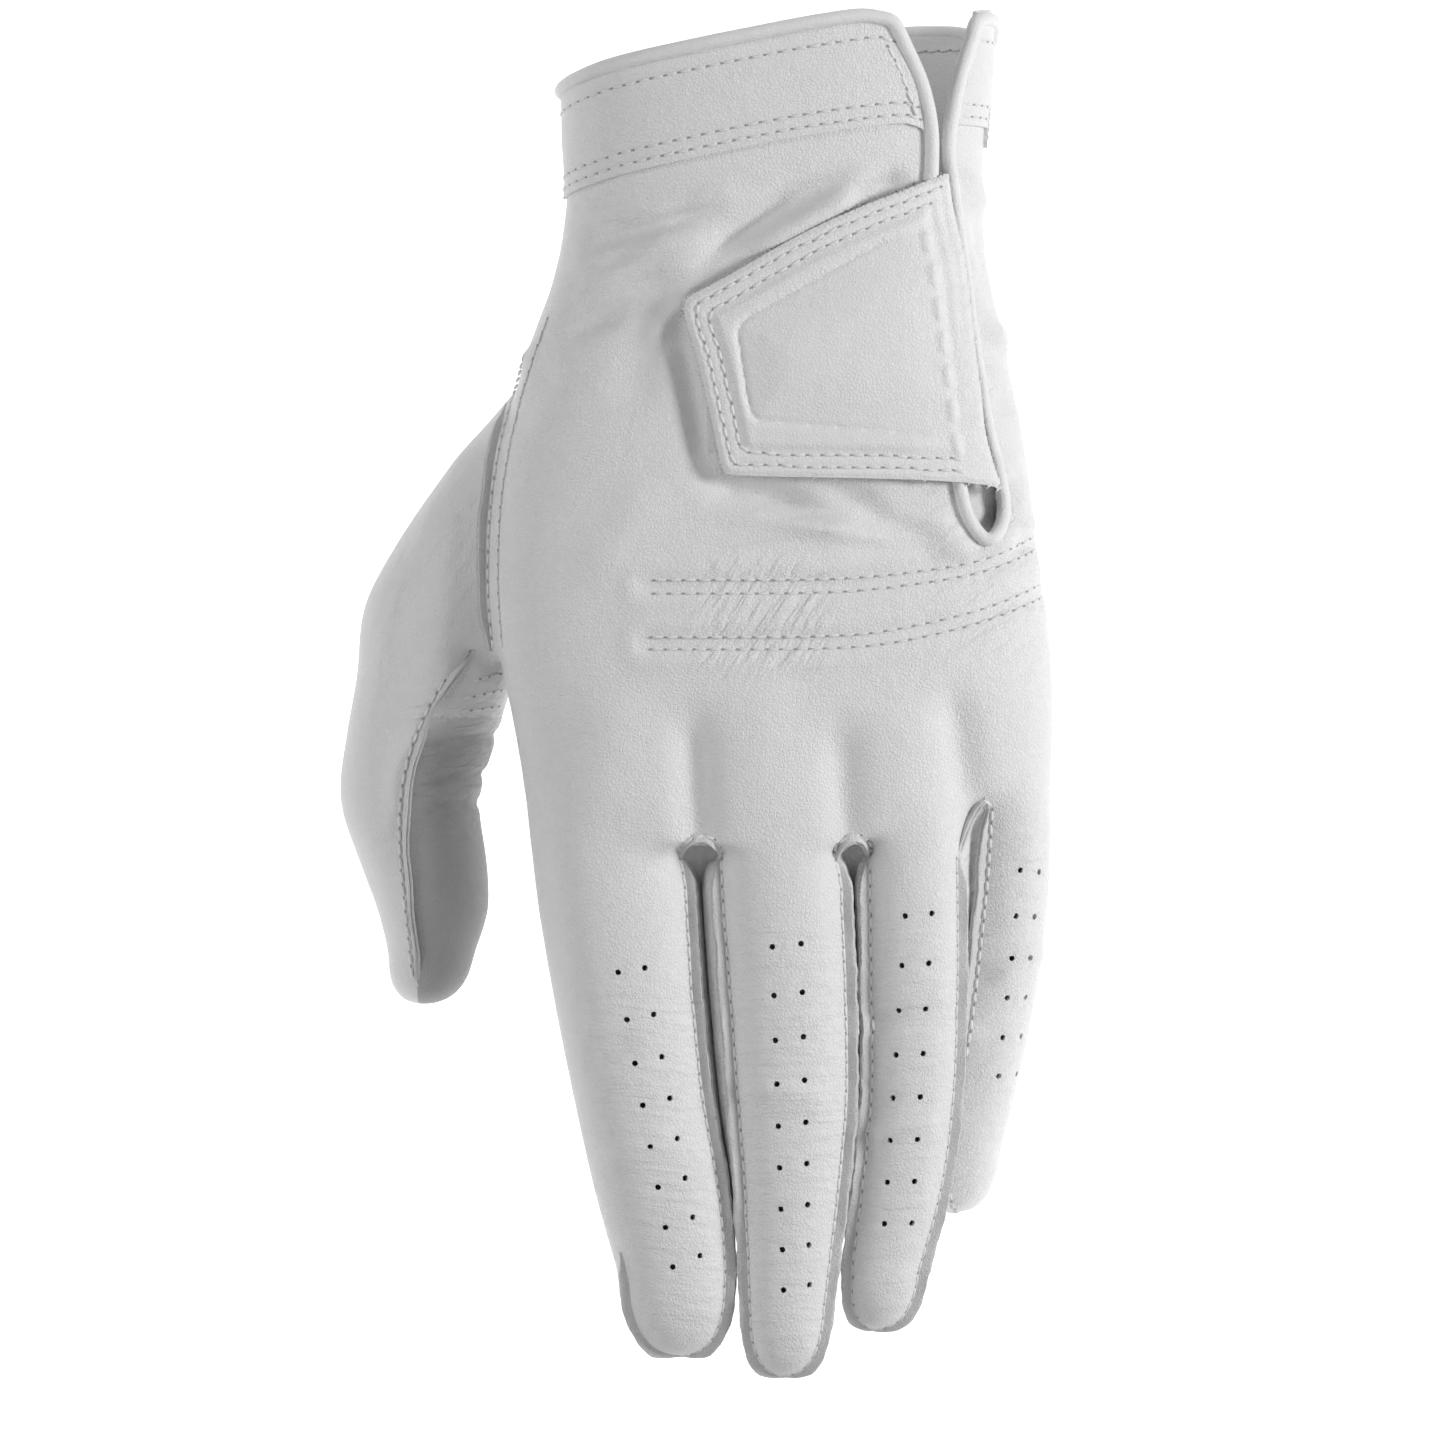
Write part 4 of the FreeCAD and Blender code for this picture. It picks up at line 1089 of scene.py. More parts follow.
def fabric(name, colour, pitch, roughness=0.85, ribs=False):
    """Woven or knitted tape: crossing threads with fuzz, darker between the threads as painted shade."""
    f = Finish(name, colour, roughness, specular=0.2, sheen=0.2)
    turn = math.tau / pitch
    warp = f.node("ShaderNodeMath", {"operation": "SINE"}, f.x * turn)
    weft = f.node("ShaderNodeMath", {"operation": "SINE"}, f.z * (turn * (0.6 if ribs else 1.0)))
    weave = warp * weft * 0.5 + 0.5
    height = weave + f.noise(6.0, 3.0) * 0.4 + (weft * 0.6 if ribs else 0)
    f.bump(height, 0.6, 0.00025)
    # painted shade where the weave sinks between the threads, plus soft random patches of tone
    f.tint((1 - weave) * 0.6 + f.noise(2.0, 2.0) * 0.3, 0.14)
    return f.material


def thread(name, colour):
    """Twisted sewing thread."""
    f = Finish(name, colour, 0.6, specular=0.3, sheen=0.1)
    twist = f.node("ShaderNodeMath", {"operation": "SINE"}, (f.x + f.z * 0.8 + f.y * 0.6) * 17.0)
    f.bump(twist * 0.5 + f.noise(9.0, 2.0) * 0.5, 0.35, 0.0001)
    f.tint(twist * 0.3 + 0.3, 0.12)
    return f.material


_finishes = {}


def finish(slot):
    """The material of one slot, made once."""
    if slot in _finishes:
        return _finishes[slot]
    colours = bpy.context.scene.glove_colours
    white, dull, yarn = tuple(colours.leather), tuple(colours.lining), tuple(colours.thread)
    makers = {
        "white_leather": lambda: leather("white_leather", white),
        "palm_leather": lambda: leather("palm_leather", white, 0.55, grain=0.8),
        # the thumb pad's leather, with a painted shadow over its lower part
        "pad_leather_painted_shade": lambda: leather("pad_leather_painted_shade", white, 0.6, grain=0.9, shade=0.48),
        "binding_leather": lambda: leather("binding_leather", white, 0.5, grain=0.6, creases=False),
        "lining_leather": lambda: leather("lining_leather", dull, 0.65, grain=0.7, creases=False),
        "embossed_leather": lambda: leather("embossed_leather", white, 0.47, grain=0.8, creases=False),
        "cut_edge": lambda: leather("cut_edge", tuple(c * 0.93 for c in white), 0.8, grain=1.0, creases=False, raw=0.8),
        "elastic": lambda: fabric("elastic", tuple(colours.cloth), 0.9, ribs=True),
        "label_cloth": lambda: fabric("label_cloth", tuple(colours.cloth), 0.35),
        "loop_tape": lambda: fabric("loop_tape", tuple(colours.cloth), 0.5),
        "hook_tape": lambda: fabric("hook_tape", tuple(colours.cloth), 1.1),
        "tab_foam": lambda: fabric("tab_foam", tuple(colours.cloth), 0.4),
        "thread": lambda: thread("thread", yarn),
        # needle holes: a dark colour that paints the shade inside them
        "needle_hole_shade": lambda: leather("needle_hole_shade", tuple(c * 0.5 for c in white), 0.9, creases=False, raw=0.4),
    }
    _finishes[slot] = makers[slot]()
    return _finishes[slot]


# ---------------------------------------------------------------- sizes and colours


def length_property(name, description, default, low=0.0, high=1.0):
    """A length that can be changed in the panel, in metres."""
    return bpy.props.FloatProperty(name=name, description=description, default=default, min=low, max=high,
                                   subtype="DISTANCE", unit="LENGTH", precision=5)


def colour_property(name, description, default):
    """A colour that can be changed in the panel."""
    return bpy.props.FloatVectorProperty(name=name, description=description, default=default, min=0, max=1,
                                         subtype="COLOR", size=3)


class GloveSizes(bpy.types.PropertyGroup):
    surface_detail: length_property("Surface detail", "Distance between the leather's points", 0.0008, 0.0004, 0.003)
    leather: length_property("Leather", "Thickness of the leather", 0.0007, 0.0003, 0.002)
    stitch_pitch: length_property("Stitch pitch", "Distance from stitch to stitch", 0.0024, 0.001, 0.005)
    roll: length_property("Rolled edge", "Radius of the rolled edges", 0.00125, 0.0005, 0.003)
    band: length_property("Cuff band", "Height of the folded band under the cuff's edge", 0.0172, 0.005, 0.03)
    tab_crown: length_property("Tab crown", "How far the padded middle of the tab rises", 0.0009, 0.0, 0.003)


class GloveColours(bpy.types.PropertyGroup):
    leather: colour_property("Leather", "White of the sheepskin", (0.77, 0.77, 0.775))
    lining: colour_property("Lining", "The leather's inner side", (0.74, 0.735, 0.73))
    thread: colour_property("Thread", "Sewing thread", (0.78, 0.78, 0.78))
    cloth: colour_property("Cloth", "Elastic, label and fastening tapes", (0.76, 0.76, 0.765))


# ---------------------------------------------------------------- operators


class GLOVE_OT_stage(bpy.types.Operator):
    """Floor, backdrop, lights and camera"""

    bl_idname = "glove.stage"
    bl_label = "Stage"

    def execute(self, context):
        self.sweep(context)
        self.light(context)
        self.aim_camera(context)
        return {"FINISHED"}

    @staticmethod
    def sweep(context):
        """A pale floor that curves up into a wall behind the glove, white from under the glove on."""
        floor, bend_from, bend = -0.231, 0.9, 0.6
        sweep = [(-3.0, floor), (bend_from, floor)]
        sweep += [(bend_from + bend * math.sin(a), floor + bend * (1 - math.cos(a)))
                  for a in np.linspace(0.1, math.pi / 2, 14)]
        sweep += [(1.5, 2.6)]
        points = [(x, y, z) for x in (-3.0, 3.0) for y, z in sweep]
        count = len(sweep)
        mesh = bpy.data.meshes.new("sweep")
        mesh.from_pydata(points, [], [(i, i + 1, count + i + 1, count + i) for i in range(count - 1)])
        sheet = bpy.data.objects.new("sweep", mesh)
        context.collection.objects.link(sheet)
        mesh.flip_normals()
        mesh.shade_smooth()
        f = Finish("pale_floor", (0.94, 0.94, 0.94), 0.9, specular=0.05)
        behind = f.y.span(-10.0, 38.0)
        shade = f.node("ShaderNodeMix", {"data_type": "RGBA"}, behind, (0.0, 0.0, 0.0, 1), (1.0, 1.0, 1.0, 1))
        f.tree.links.new(shade.socket, f.shader.inputs["Emission Color"])
        ground = f.node("ShaderNodeMix", {"data_type": "RGBA"}, behind, (0.6, 0.6, 0.6, 1), (0.94, 0.94, 0.94, 1))
        f.tree.links.new(ground.socket, f.shader.inputs["Base Color"])
        f.shader.inputs["Emission Strength"].default_value = 0.66
        mesh.materials.append(f.material)

    @staticmethod
    def light(context):
        """Soft lights from both sides, above and on the wall."""
        world = bpy.data.worlds.new("studio")
        world.use_nodes = True
        world.node_tree.nodes["Background"].inputs[0].default_value = (1, 1, 1, 1)
        world.node_tree.nodes["Background"].inputs[1].default_value = 0.12
        context.scene.world = world
        context.scene.view_settings.view_transform = "Standard"
        lights = (
            ("key", (1.3, -0.7, 0.14), 0.45, 16.4),
            ("top", (-0.3, -0.9, 0.9), 0.5, 3.0),
            ("fill", (-1.5, -0.6, 0.1), 0.7, 7.0),
            ("backdrop", (0.0, 0.5, 1.5), 1.6, 6.0),
        )
        target = Vector((0, 0, -0.11))
        for name, place, size, power in lights:
            data = bpy.data.lights.new(name, "AREA")
            data.shape, data.size, data.energy = "DISK", size, power
            lamp = bpy.data.objects.new(name, data)
            lamp.location = place
            aim = Vector((0, 1.6, 0)) if name == "backdrop" else target
            lamp.rotation_euler = (aim - Vector(place)).to_track_quat("-Z", "Y").to_euler()
            context.collection.objects.link(lamp)

    @staticmethod
    def aim_camera(context):
        """A long lens straight at the back of the glove."""
        data = bpy.data.cameras.new("camera")
        data.lens, data.sensor_width = 200.0, 36.0
        camera = bpy.data.objects.new("camera", data)
        camera.location = (-0.0088, -1.3244, -0.1083)
        camera.rotation_euler = (math.radians(90), 0, 0)
        context.collection.objects.link(camera)
        context.scene.camera = camera


class GLOVE_OT_leather(bpy.types.Operator):
    """Back, palm, thumb and finger leathers"""

    bl_idname = "glove.leather"
    bl_label = "Leather panels"

    def execute(self, context):
        for key, slot, node in (("back", "white_leather", "back_panel"), ("palm", "palm_leather", "palm_panel"),
                                ("thumb_base", "palm_leather", "thumb_base_panel")):
            place_on(leather_piece(node + "_leather", key, finish(slot)), "hand", slot, node)
        place_on(leather_piece("thumb_back_leather", "thumb_back", finish("palm_leather")), "thumb", "palm_leather",
                 "thumb_back", bend=THUMB_BEND)
        # the pad's material paints a shadow over its lower part
        place_on(leather_piece("thumb_pad_leather", "thumb_front", finish("pad_leather_painted_shade")), "thumb", "palm_leather",
                 "thumb_pad", bend=THUMB_BEND)
        walls = {
            "index": {"right": "index_fourchette_little_side"},
            "middle": {"left": "middle_fourchette_thumb_side", "right": "middle_fourchette_little_side"},
            "ring": {"left": "ring_fourchette_thumb_side", "right": "ring_fourchette_little_side"},
            "little": {"left": "little_fourchette_thumb_side"},
        }
        for finger in FINGERS:
            body, bend = finger + "_finger", finger_bend(finger)
            for part, slot in (("back", "white_leather"), ("front", "palm_leather")):
                node = f"{finger}_{part}"
                place_on(leather_piece(node + "_leather", node, finish(slot)), body, slot, node, bend=bend)
            for side, node in walls[finger].items():
                piece = leather_piece(node + "_leather", f"{finger}_{side}_wall", finish("palm_leather"))
                place_on(piece, body, "palm_leather", node, bend=bend)
        return {"FINISHED"}


def lip_angle(path, level):
    """The angle round the wrist of a lip of the slit at a level."""
    path = np.array(sorted(path, key=lambda p: p[1]), float)
    x = float(np.interp(level, path[:, 1], path[:, 0]))
    values = along(HAND, level)[0]
    middle, reach = (values[0] + values[1]) / 2, (values[1] - values[0]) / 2
    u = min(abs(x - middle) / reach, 0.999)
    return math.atan2(values[2] - values[3] * (1 - u**HAND_SQUARENESS) ** (1 / HAND_SQUARENESS), x + 0.5)


def wrist_point(share, level):
    """A point round the wrist: share 0 at the slit's left lip, 1 at its right lip, over thumb side and palm."""
    start = lip_angle(LIP_LEFT[:9], min(level, 5.0))
    end = lip_angle(LIP_RIGHT[9:14], min(level, 4.6)) - math.tau
    angle = start + (end - start) * share
    for lower in range(12):
        hit = skin().round_the_wrist(angle, level - 0.4 * lower)
        if hit is not None:
            hit[0][2] = level
            return hit
    raise RuntimeError(f"no leather at {share:.3f} round the wrist, level {level:.1f}")


def rim_level(share):
    """Level of the cuff's edge at a share of the way round."""
    level = 0.0
    for _ in range(5):
        hit = wrist_point(share, level - 1.6)
        level = float(cuff_level(np.array([hit[0][0]]), np.array([hit[0][1] < 0]))[0])
        level = min(level, 7.4)
    return level


def over_back(path, lift=0.0):
    """A path laid on the back's leather and lifted off it: points and normals."""
    place, normal = skin().project(path)
    return place + normal * lift, normal


class GLOVE_OT_cuff(bpy.types.Operator):
    """Folded band and rolled edge of the cuff, with its sewing"""

    bl_idname = "glove.cuff"
    bl_label = "Cuff"

    def execute(self, context):
        sizes = context.scene.glove_sizes
        grid, edge = self.band_grid(sizes.band / MM)
        self.fold(grid)
        self.roll(edge, sizes.roll / MM)
        self.sew(grid, sizes.band / MM, sizes.leather / MM)
        return {"FINISHED"}

    @staticmethod
    def band_grid(band, rows=26):
        """Places and normals round the wrist and down the band, and the line of the cuff's edge."""
        columns, edge = [], []
        for share in np.linspace(0.004, 0.996, 300):
            level = rim_level(share)
            place, normal = wrist_point(share, level - 0.9)
            edge.append(place + normal * 0.45 + (0, 0, 0.7))
            line = []
            for down in np.linspace(0, 1, rows):
                place, normal = wrist_point(share, level - 0.6 - down * band)
                puff = 0.32 + 0.28 * math.sin(math.pi * min(1, max(0, (down - 0.16) / 0.66)))
                line.append(np.hstack([place + normal * puff, normal]))
            columns.append(line)
        return np.array(columns), edge

    @staticmethod
    def fold(grid):
        """The leather folded over the wrist's edge."""
        co, normal = grid[..., :3].reshape(-1, 3), grid[..., 3:].reshape(-1, 3)
        faces = turned_out(grid_faces(*grid.shape[:2]), co, normal)
        piece = thick_sheet("cuff_band_leather", co, normal, faces, -0.75, 0.32, finish("white_leather"))
        place_on(piece, "hand", "white_leather", "cuff_band")

    @staticmethod
    def roll(edge, radius):
        """The rolled edge, up one lip of the slit, round the cuff and down the other."""
        lip_left, _ = over_back(resample(rounded(np.array(LIP_LEFT[1:10], float) + (-0.5, 0)), 1.0), 0.35)
        lip_right, _ = over_back(resample(rounded(np.array(LIP_RIGHT[8:14], float) + (0.6, 0)), 1.0), 0.35)
        path = smoothed(resample(np.vstack([lip_left[::-1], edge, lip_right[::-1]]), 1.1), 6)
        piece = cord_of("cuff_rolled_edge", path, radius, finish("binding_leather"))
        place_on(piece, "hand", "binding_leather", "cuff_binding")

    @staticmethod
    def sew(grid, band, leather_thickness):
        """Rows round the band, beside the slit and inside the palm's edge."""
        runs, rows = [], grid.shape[1]
        for below in (3.3, band - 3.4, band - 1.4):
            share = below / band * (rows - 1)
            low = int(share)
            t = share - low
            line = (grid[:, low] * (1 - t) + grid[:, min(low + 1, rows - 1)] * t)[2:-2]
            runs.append((line[:, :3] + line[:, 3:] * 0.33, line[:, 3:]))
        left_row = resample(rounded(((18.0, 1.9), (20.0, -2.1), (21.5, -6.3), (22.7, -9.6))), 1.0)
        runs.append(over_back(left_row, 0.85))
        palm_row, palm_normal = skin().project(resample(((12.0, 3.6), (33.0, 3.4)), 1.0), side=-1)
        runs.append((palm_row - palm_normal * (leather_thickness + 0.08), -palm_normal))
        place_on(sewn("cuff_sewing", runs, finish("thread")), "hand", "thread", "cuff_stitching")


class GLOVE_OT_slit(bpy.types.Operator):
    """Rolled edges of the wrist slit and its rounded end"""

    bl_idname = "glove.slit"
    bl_label = "Wrist slit"

    def execute(self, context):
        left = np.array(LIP_LEFT[8:], float) + (-0.6, 0)
        right = np.array(LIP_RIGHT[:9], float) + (0.6, 0)
        path = resample(rounded(np.vstack([left, ((34.6, -79.4),), right])), 1.0)
        place, _ = over_back(path, 0.3)
        place = smoothed(place, 3)
        radius = context.scene.glove_sizes.roll / MM * 0.95
        piece = cord_of("slit_rolled_edge", place, radius, finish("binding_leather"))
        place_on(piece, "hand", "binding_leather", "slit_binding")
        return {"FINISHED"}


def seam_path(finger, side):
    """A finger's side seam in space, from its crotch to the middle of the tip; side is -1 or 1."""
    top = CROTCH[finger] + (0.4 if finger != "little" else -0.5)
    low = DIGITS[finger][-1][0]
    angle = math.radians(side * SEAM_ANGLE + TURN[finger])
    across, deep = math.sin(angle), -math.cos(angle)
    path = []
    for level in np.linspace(top, low, 40):
        cx, hw, cy, hd = digit_at(finger, level)[0]
        path.append((cx + across * hw, cy + deep * hd, level))
    cx, hw, cy, hd = digit_at(finger, low)[0]
    tip = TIPS[finger]
    for t in np.linspace(0.08, 1.0, 14):
        turn = t * math.pi / 2
        shrink = math.cos(turn) ** TIP_BLUNTNESS
        drop = math.sin(turn)
        path.append((cx + (tip[1] - cx) * t + across * hw * shrink,
                     cy + (tip[2] - cy) * t + deep * hd * (shrink * 0.6 + 0.4 * (1 - drop) + 0.12),
                     low + (tip[0] - low) * drop))
    return np.array(path)


def crotch_arc(left, right, rise=3.6):
    """The seam over the top of the gap between two fingers: points, normals and ways into the gap."""
    (a, na), (b, nb) = left, right
    middle = (a + b) / 2
    top, top_normal = skin().drop(float(middle[0]), float(middle[2] + rise))
    place, normal = [], []
    for t in np.linspace(0, 1, 25):
        swing = math.sin(math.pi * t)
        base = a + (b - a) * (1 - math.cos(math.pi * t)) / 2
        lift = (top - middle) * swing
        place.append(base + lift)
        n = na * (1 - t) * (1 - swing) + nb * t * (1 - swing) + top_normal * swing
        normal.append(n / np.linalg.norm(n))
    place, normal = np.array(place), np.array(normal)
    for i, (x, y, z) in enumerate(place):
        hit = skin().drop(x, z)
        if hit is not None and hit[0][1] < y:
            place[i] = hit[0]
    place, normal = smoothed(place, 10), unit(smoothed(normal, 10))
    way = middle + (0, -4.0, 0.4) - place
    way = unit(way)
    return place, normal, way


class GLOVE_OT_finger_seams(bpy.types.Operator):
    """Cut edges and sewing along the fingers and over their crotches"""

    bl_idname = "glove.finger_seams"
    bl_label = "Finger seams"

    def execute(self, context):
        sides = {"index": (1,), "middle": (-1, 1), "ring": (-1, 1), "little": (-1,)}
        starts = {}
        for finger in FINGERS:
            edges, rows = [], []
            for side in sides[finger]:
                path = resample(seam_path(finger, side), 0.8)
                place, normal = skin().nearest(path, finger)
                starts[finger, side] = place[0], normal[0]
                across = self.outward(finger, place, normal)
                way = normal * 0.9 + across * 0.4
                way = unit(way)
                edges.append((place, normal, way))
                rows.append(skin().nearest(place - across * 0.95, finger))
            if finger == "index":
                path = resample(seam_path(finger, -1), 0.8)[-30:]
                place, normal = skin().nearest(path, finger)
                way = normal * 0.9 + self.outward(finger, place, normal) * 0.4
                way = unit(way)
                edges.append((place, normal, way))
            body, bend = finger + "_finger", finger_bend(finger)
            place_on(standing_edge(finger + "_cut_edge", edges, finish("cut_edge")), body, "white_leather", bend=bend)
            place_on(sewn(finger + "_sewing", rows, finish("thread")), body, "thread", bend=bend)
        edges, rows = [], []
        for left, right in (("index", "middle"), ("middle", "ring"), ("ring", "little")):
            place, normal, way = crotch_arc(starts[left, 1], starts[right, -1])
            way = way * 0.8 + normal * 0.6
            way = unit(way)
            edges.append((place, normal, way))
            away = place - place.mean(axis=0)
            away = unit(away)
            rows.append(skin().nearest(place + away * 0.95))
            self.web(left, right, place)
        place_on(standing_edge("crotch_cut_edges", edges, finish("cut_edge"), height=1.0), "hand", "white_leather",
                 "fourchette_crotches")
        place_on(sewn("crotch_sewing", rows, finish("thread")), "hand", "thread")
        return {"FINISHED"}

    @staticmethod
    def web(left, right, arc):
        """The folded middle of the wall leather that closes the bottom of a gap between two fingers."""
        rows, columns = 9, 16
        points = [(3.4 * u, 5.5 + 4.0 * v * v - 2.2 * u * u, 3.0 - 14 * v)
                  for u in np.linspace(-1, 1, rows) for v in np.linspace(0, 1, columns)]
        points = np.array(points) + arc.mean(axis=0)
        normal = grid_normals(points, rows, columns)
        normal[normal[:, 1] > 0] *= -1
        faces = turned_out(grid_faces(rows, columns), points, normal)
        piece = thick_sheet(f"{left}_{right}_web", points, normal, faces, -0.7, 0.0, finish("palm_leather"))
        place_on(piece, "hand", "palm_leather")

    @staticmethod
    def outward(finger, place, normal):
        """Across the seam, away from the finger's middle, over the back."""
        tangent = np.gradient(place, axis=0)
        tangent = unit(tangent)
        across = np.cross(tangent, normal)
        across = unit(across)
        level = np.maximum(place[:, 2], DIGITS[finger][-1][0])
        away = np.zeros_like(place)
        away[:, 0], away[:, 2] = place[:, 0] - digit_at(finger, level)[:, 0], place[:, 2] - level
        return across * (1 if np.sum(across * away) > 0 else -1)


class GLOVE_OT_side_seams(bpy.types.Operator):
    """Seam between the back and the thumb leather, and the thumb's own seam"""

    bl_idname = "glove.side_seams"
    bl_label = "Side seams"

    def execute(self, context):
        path = resample(rounded(SIDE_SEAM[:-1]), 0.8)
        place, normal = over_back(path)
        way = normal * 0.8 + np.array((-0.6, 0, 0))
        way = unit(way)
        edge = standing_edge("side_cut_edge", [(place, normal, way)], finish("cut_edge"), height=1.1)
        place_on(edge, "hand", "white_leather")
        runs = [over_back(path + (1.0, 0), 0.1), over_back(path + (2.7, 0), 0.1)]
        gusset = (((-45.6, -100.2), (-50.5, -101.6)), ((-45.6, -103.0), (-51.8, -104.4)),
                  ((-46, -105.6), (-52.4, -106.6)))
        runs += [over_back(resample(line, 0.8), 0.1) for line in gusset]
        place_on(sewn("side_sewing", runs, finish("thread")), "hand", "thread", "side_seam_stitching")
        path = resample(rounded(THUMB_SEAM), 0.8)
        place, normal = over_back(path)
        upper = place[:, 2] > THUMB_CREASE
        for name, own, body, bend in (("thumb_root", upper, "hand", None), ("thumb", ~upper, "thumb", THUMB_BEND)):
            own = own | np.roll(own, 1) if name == "thumb_root" else own
            own[-1] = own[-1] and name == "thumb"
            p, n = place[own], normal[own]
            way = n * 0.9 + np.array((0.45, 0, 0))
            way = unit(way)
            place_on(standing_edge(name + "_cut_edge", [(p, n, way)], finish("cut_edge"), height=1.1), body,
                     "white_leather", bend=bend)
            piece = sewn(name + "_sewing", [(p + n * 0.1 - np.array((0.9, 0, 0)), n)], finish("thread"))
            place_on(piece, body, "thread", bend=bend)
        return {"FINISHED"}


class GLOVE_OT_knuckle_rows(bpy.types.Operator):
    """Sewing of the knuckle elastics and of the wrist elastic's end"""

    bl_idname = "glove.knuckle_rows"
    bl_label = "Knuckle sewing"

    def execute(self, context):
        runs = [over_back(resample(rounded(row), 0.9), 0.05) for row in KNUCKLE_ROWS]
        place_on(sewn("knuckle_sewing", runs, finish("thread"), width=0.24, height=0.2), "hand", "thread",
                 "knuckle_stitching")
        runs = []
        for level in (-22.6, -25.0, -41.0, -43.6):
            place, normal = skin().project(resample(((-20, level), (34, level + 1.0)), 1.0), side=-1)
            runs.append((place + normal * 0.05, normal))
        place_on(sewn("palm_elastic_sewing", runs, finish("thread"), width=0.24, height=0.2), "hand", "thread")
        return {"FINISHED"}


TAB_CORNER_ROWS = (1.75, 3.65)
# where the lines of the groove would leave the tab at its fold, low and high
TAB_BEYOND = ((62.0, -65.2), (62.0, -3.9))


def tab_surface(step):
    """The tab's outline, and a grid over it: its x values, its levels, and every point's x and level."""
    outline = rounded(np.vstack([TAB_EDGE, TAB_EDGE[:1]]), 2)
    xs = np.arange(-16.5, 38.5, step)
    zs = np.arange(-72.0, -17.0, step)
    gx, gz = np.meshgrid(xs, zs, indexing="ij")
    return outline, xs, zs, gx.reshape(-1), gz.reshape(-1)


def tab_base(x, z, coarse=2.0):
    """The y of the plain, evened-out back under the tab, read from a coarse grid."""
    grid_x, grid_z = np.arange(-20, 44, coarse), np.arange(-76, -12, coarse)
    plane = np.empty((len(grid_x), len(grid_z)))
    for i, gx in enumerate(grid_x):
        for j, gz in enumerate(grid_z):
            left, right, mid, front = along(HAND, gz)[0][:4]
            u = abs((gx - (left + right) / 2) / ((right - left) / 2))
            fall = max(0.02, 1 - min(u, 0.999) ** HAND_SQUARENESS) ** (1 / HAND_SQUARENESS)
            plane[i, j] = mid - front * fall
    for _ in range(4):
        plane[1:-1, 1:-1] = (plane[:-2, 1:-1] + plane[2:, 1:-1] + plane[1:-1, :-2] + plane[1:-1, 2:]) / 4
    fx = np.clip((x - grid_x[0]) / coarse, 0, len(grid_x) - 1.001)
    fz = np.clip((z - grid_z[0]) / coarse, 0, len(grid_z) - 1.001)
    i, j = fx.astype(int), fz.astype(int)
    u, v = fx - i, fz - j
    return (plane[i, j] * (1 - u) * (1 - v) + plane[i + 1, j] * u * (1 - v) + plane[i, j + 1] * (1 - u) * v
            + plane[i + 1, j + 1] * u * v) - 1.3


def tab_height(x, z, depth, crown):
    """Relief of the tab's face at points: lip, sewn rows, raised border, groove and padded middle."""
    h = 0.42 * ease(depth / 0.5)
    fade = 1 - ease((x - 20) / 9)
    for row in TAB_CORNER_ROWS:
        h -= 0.16 * np.exp(-(((depth - row) / 0.42) ** 2)) * (1 - ease((x - 27) / 4))
    h += 0.55 * ease((depth - 4.1) / 1.4) * (0.35 + 0.65 * fade)
    groove = near_path(x, z, TAB_GROOVE)
    inner, _ = inside(x, z, np.vstack([TAB_GROOVE, TAB_BEYOND]))
    edge_of_middle = near_path(x, z, np.vstack([TAB_BEYOND[-1:], TAB_GROOVE, TAB_BEYOND[:1]]))
    taper = 1 - ease((x - 8) / 16)
    h -= 0.42 * np.exp(-((groove / 0.55) ** 2)) * (0.35 + 0.65 * taper)
    h -= np.where(inner, 0.3 * np.exp(-((groove / 3.0) ** 2)) * fade, 0)
    h += np.where(inner, crown * ease(edge_of_middle / 9.0), 0)
    # a plain column of short raised bars beside the fold
    first, last, count = np.array((23.9, -30.0)), np.array((29.0, -63.0)), 7
    lean = unit(last - first)
    for k in range(count):
        centre = first + (last - first) * k / (count - 1)
        off_x, off_z = x - centre[0], z - centre[1]
        lengthwise, sideways = off_x * lean[0] + off_z * lean[1], off_x * lean[1] - off_z * lean[0]
        d = np.hypot(np.maximum(np.abs(lengthwise) - 1.1, 0), sideways)
        h += 0.34 * (1 - ease((d - 0.35) / 0.7))
    return h


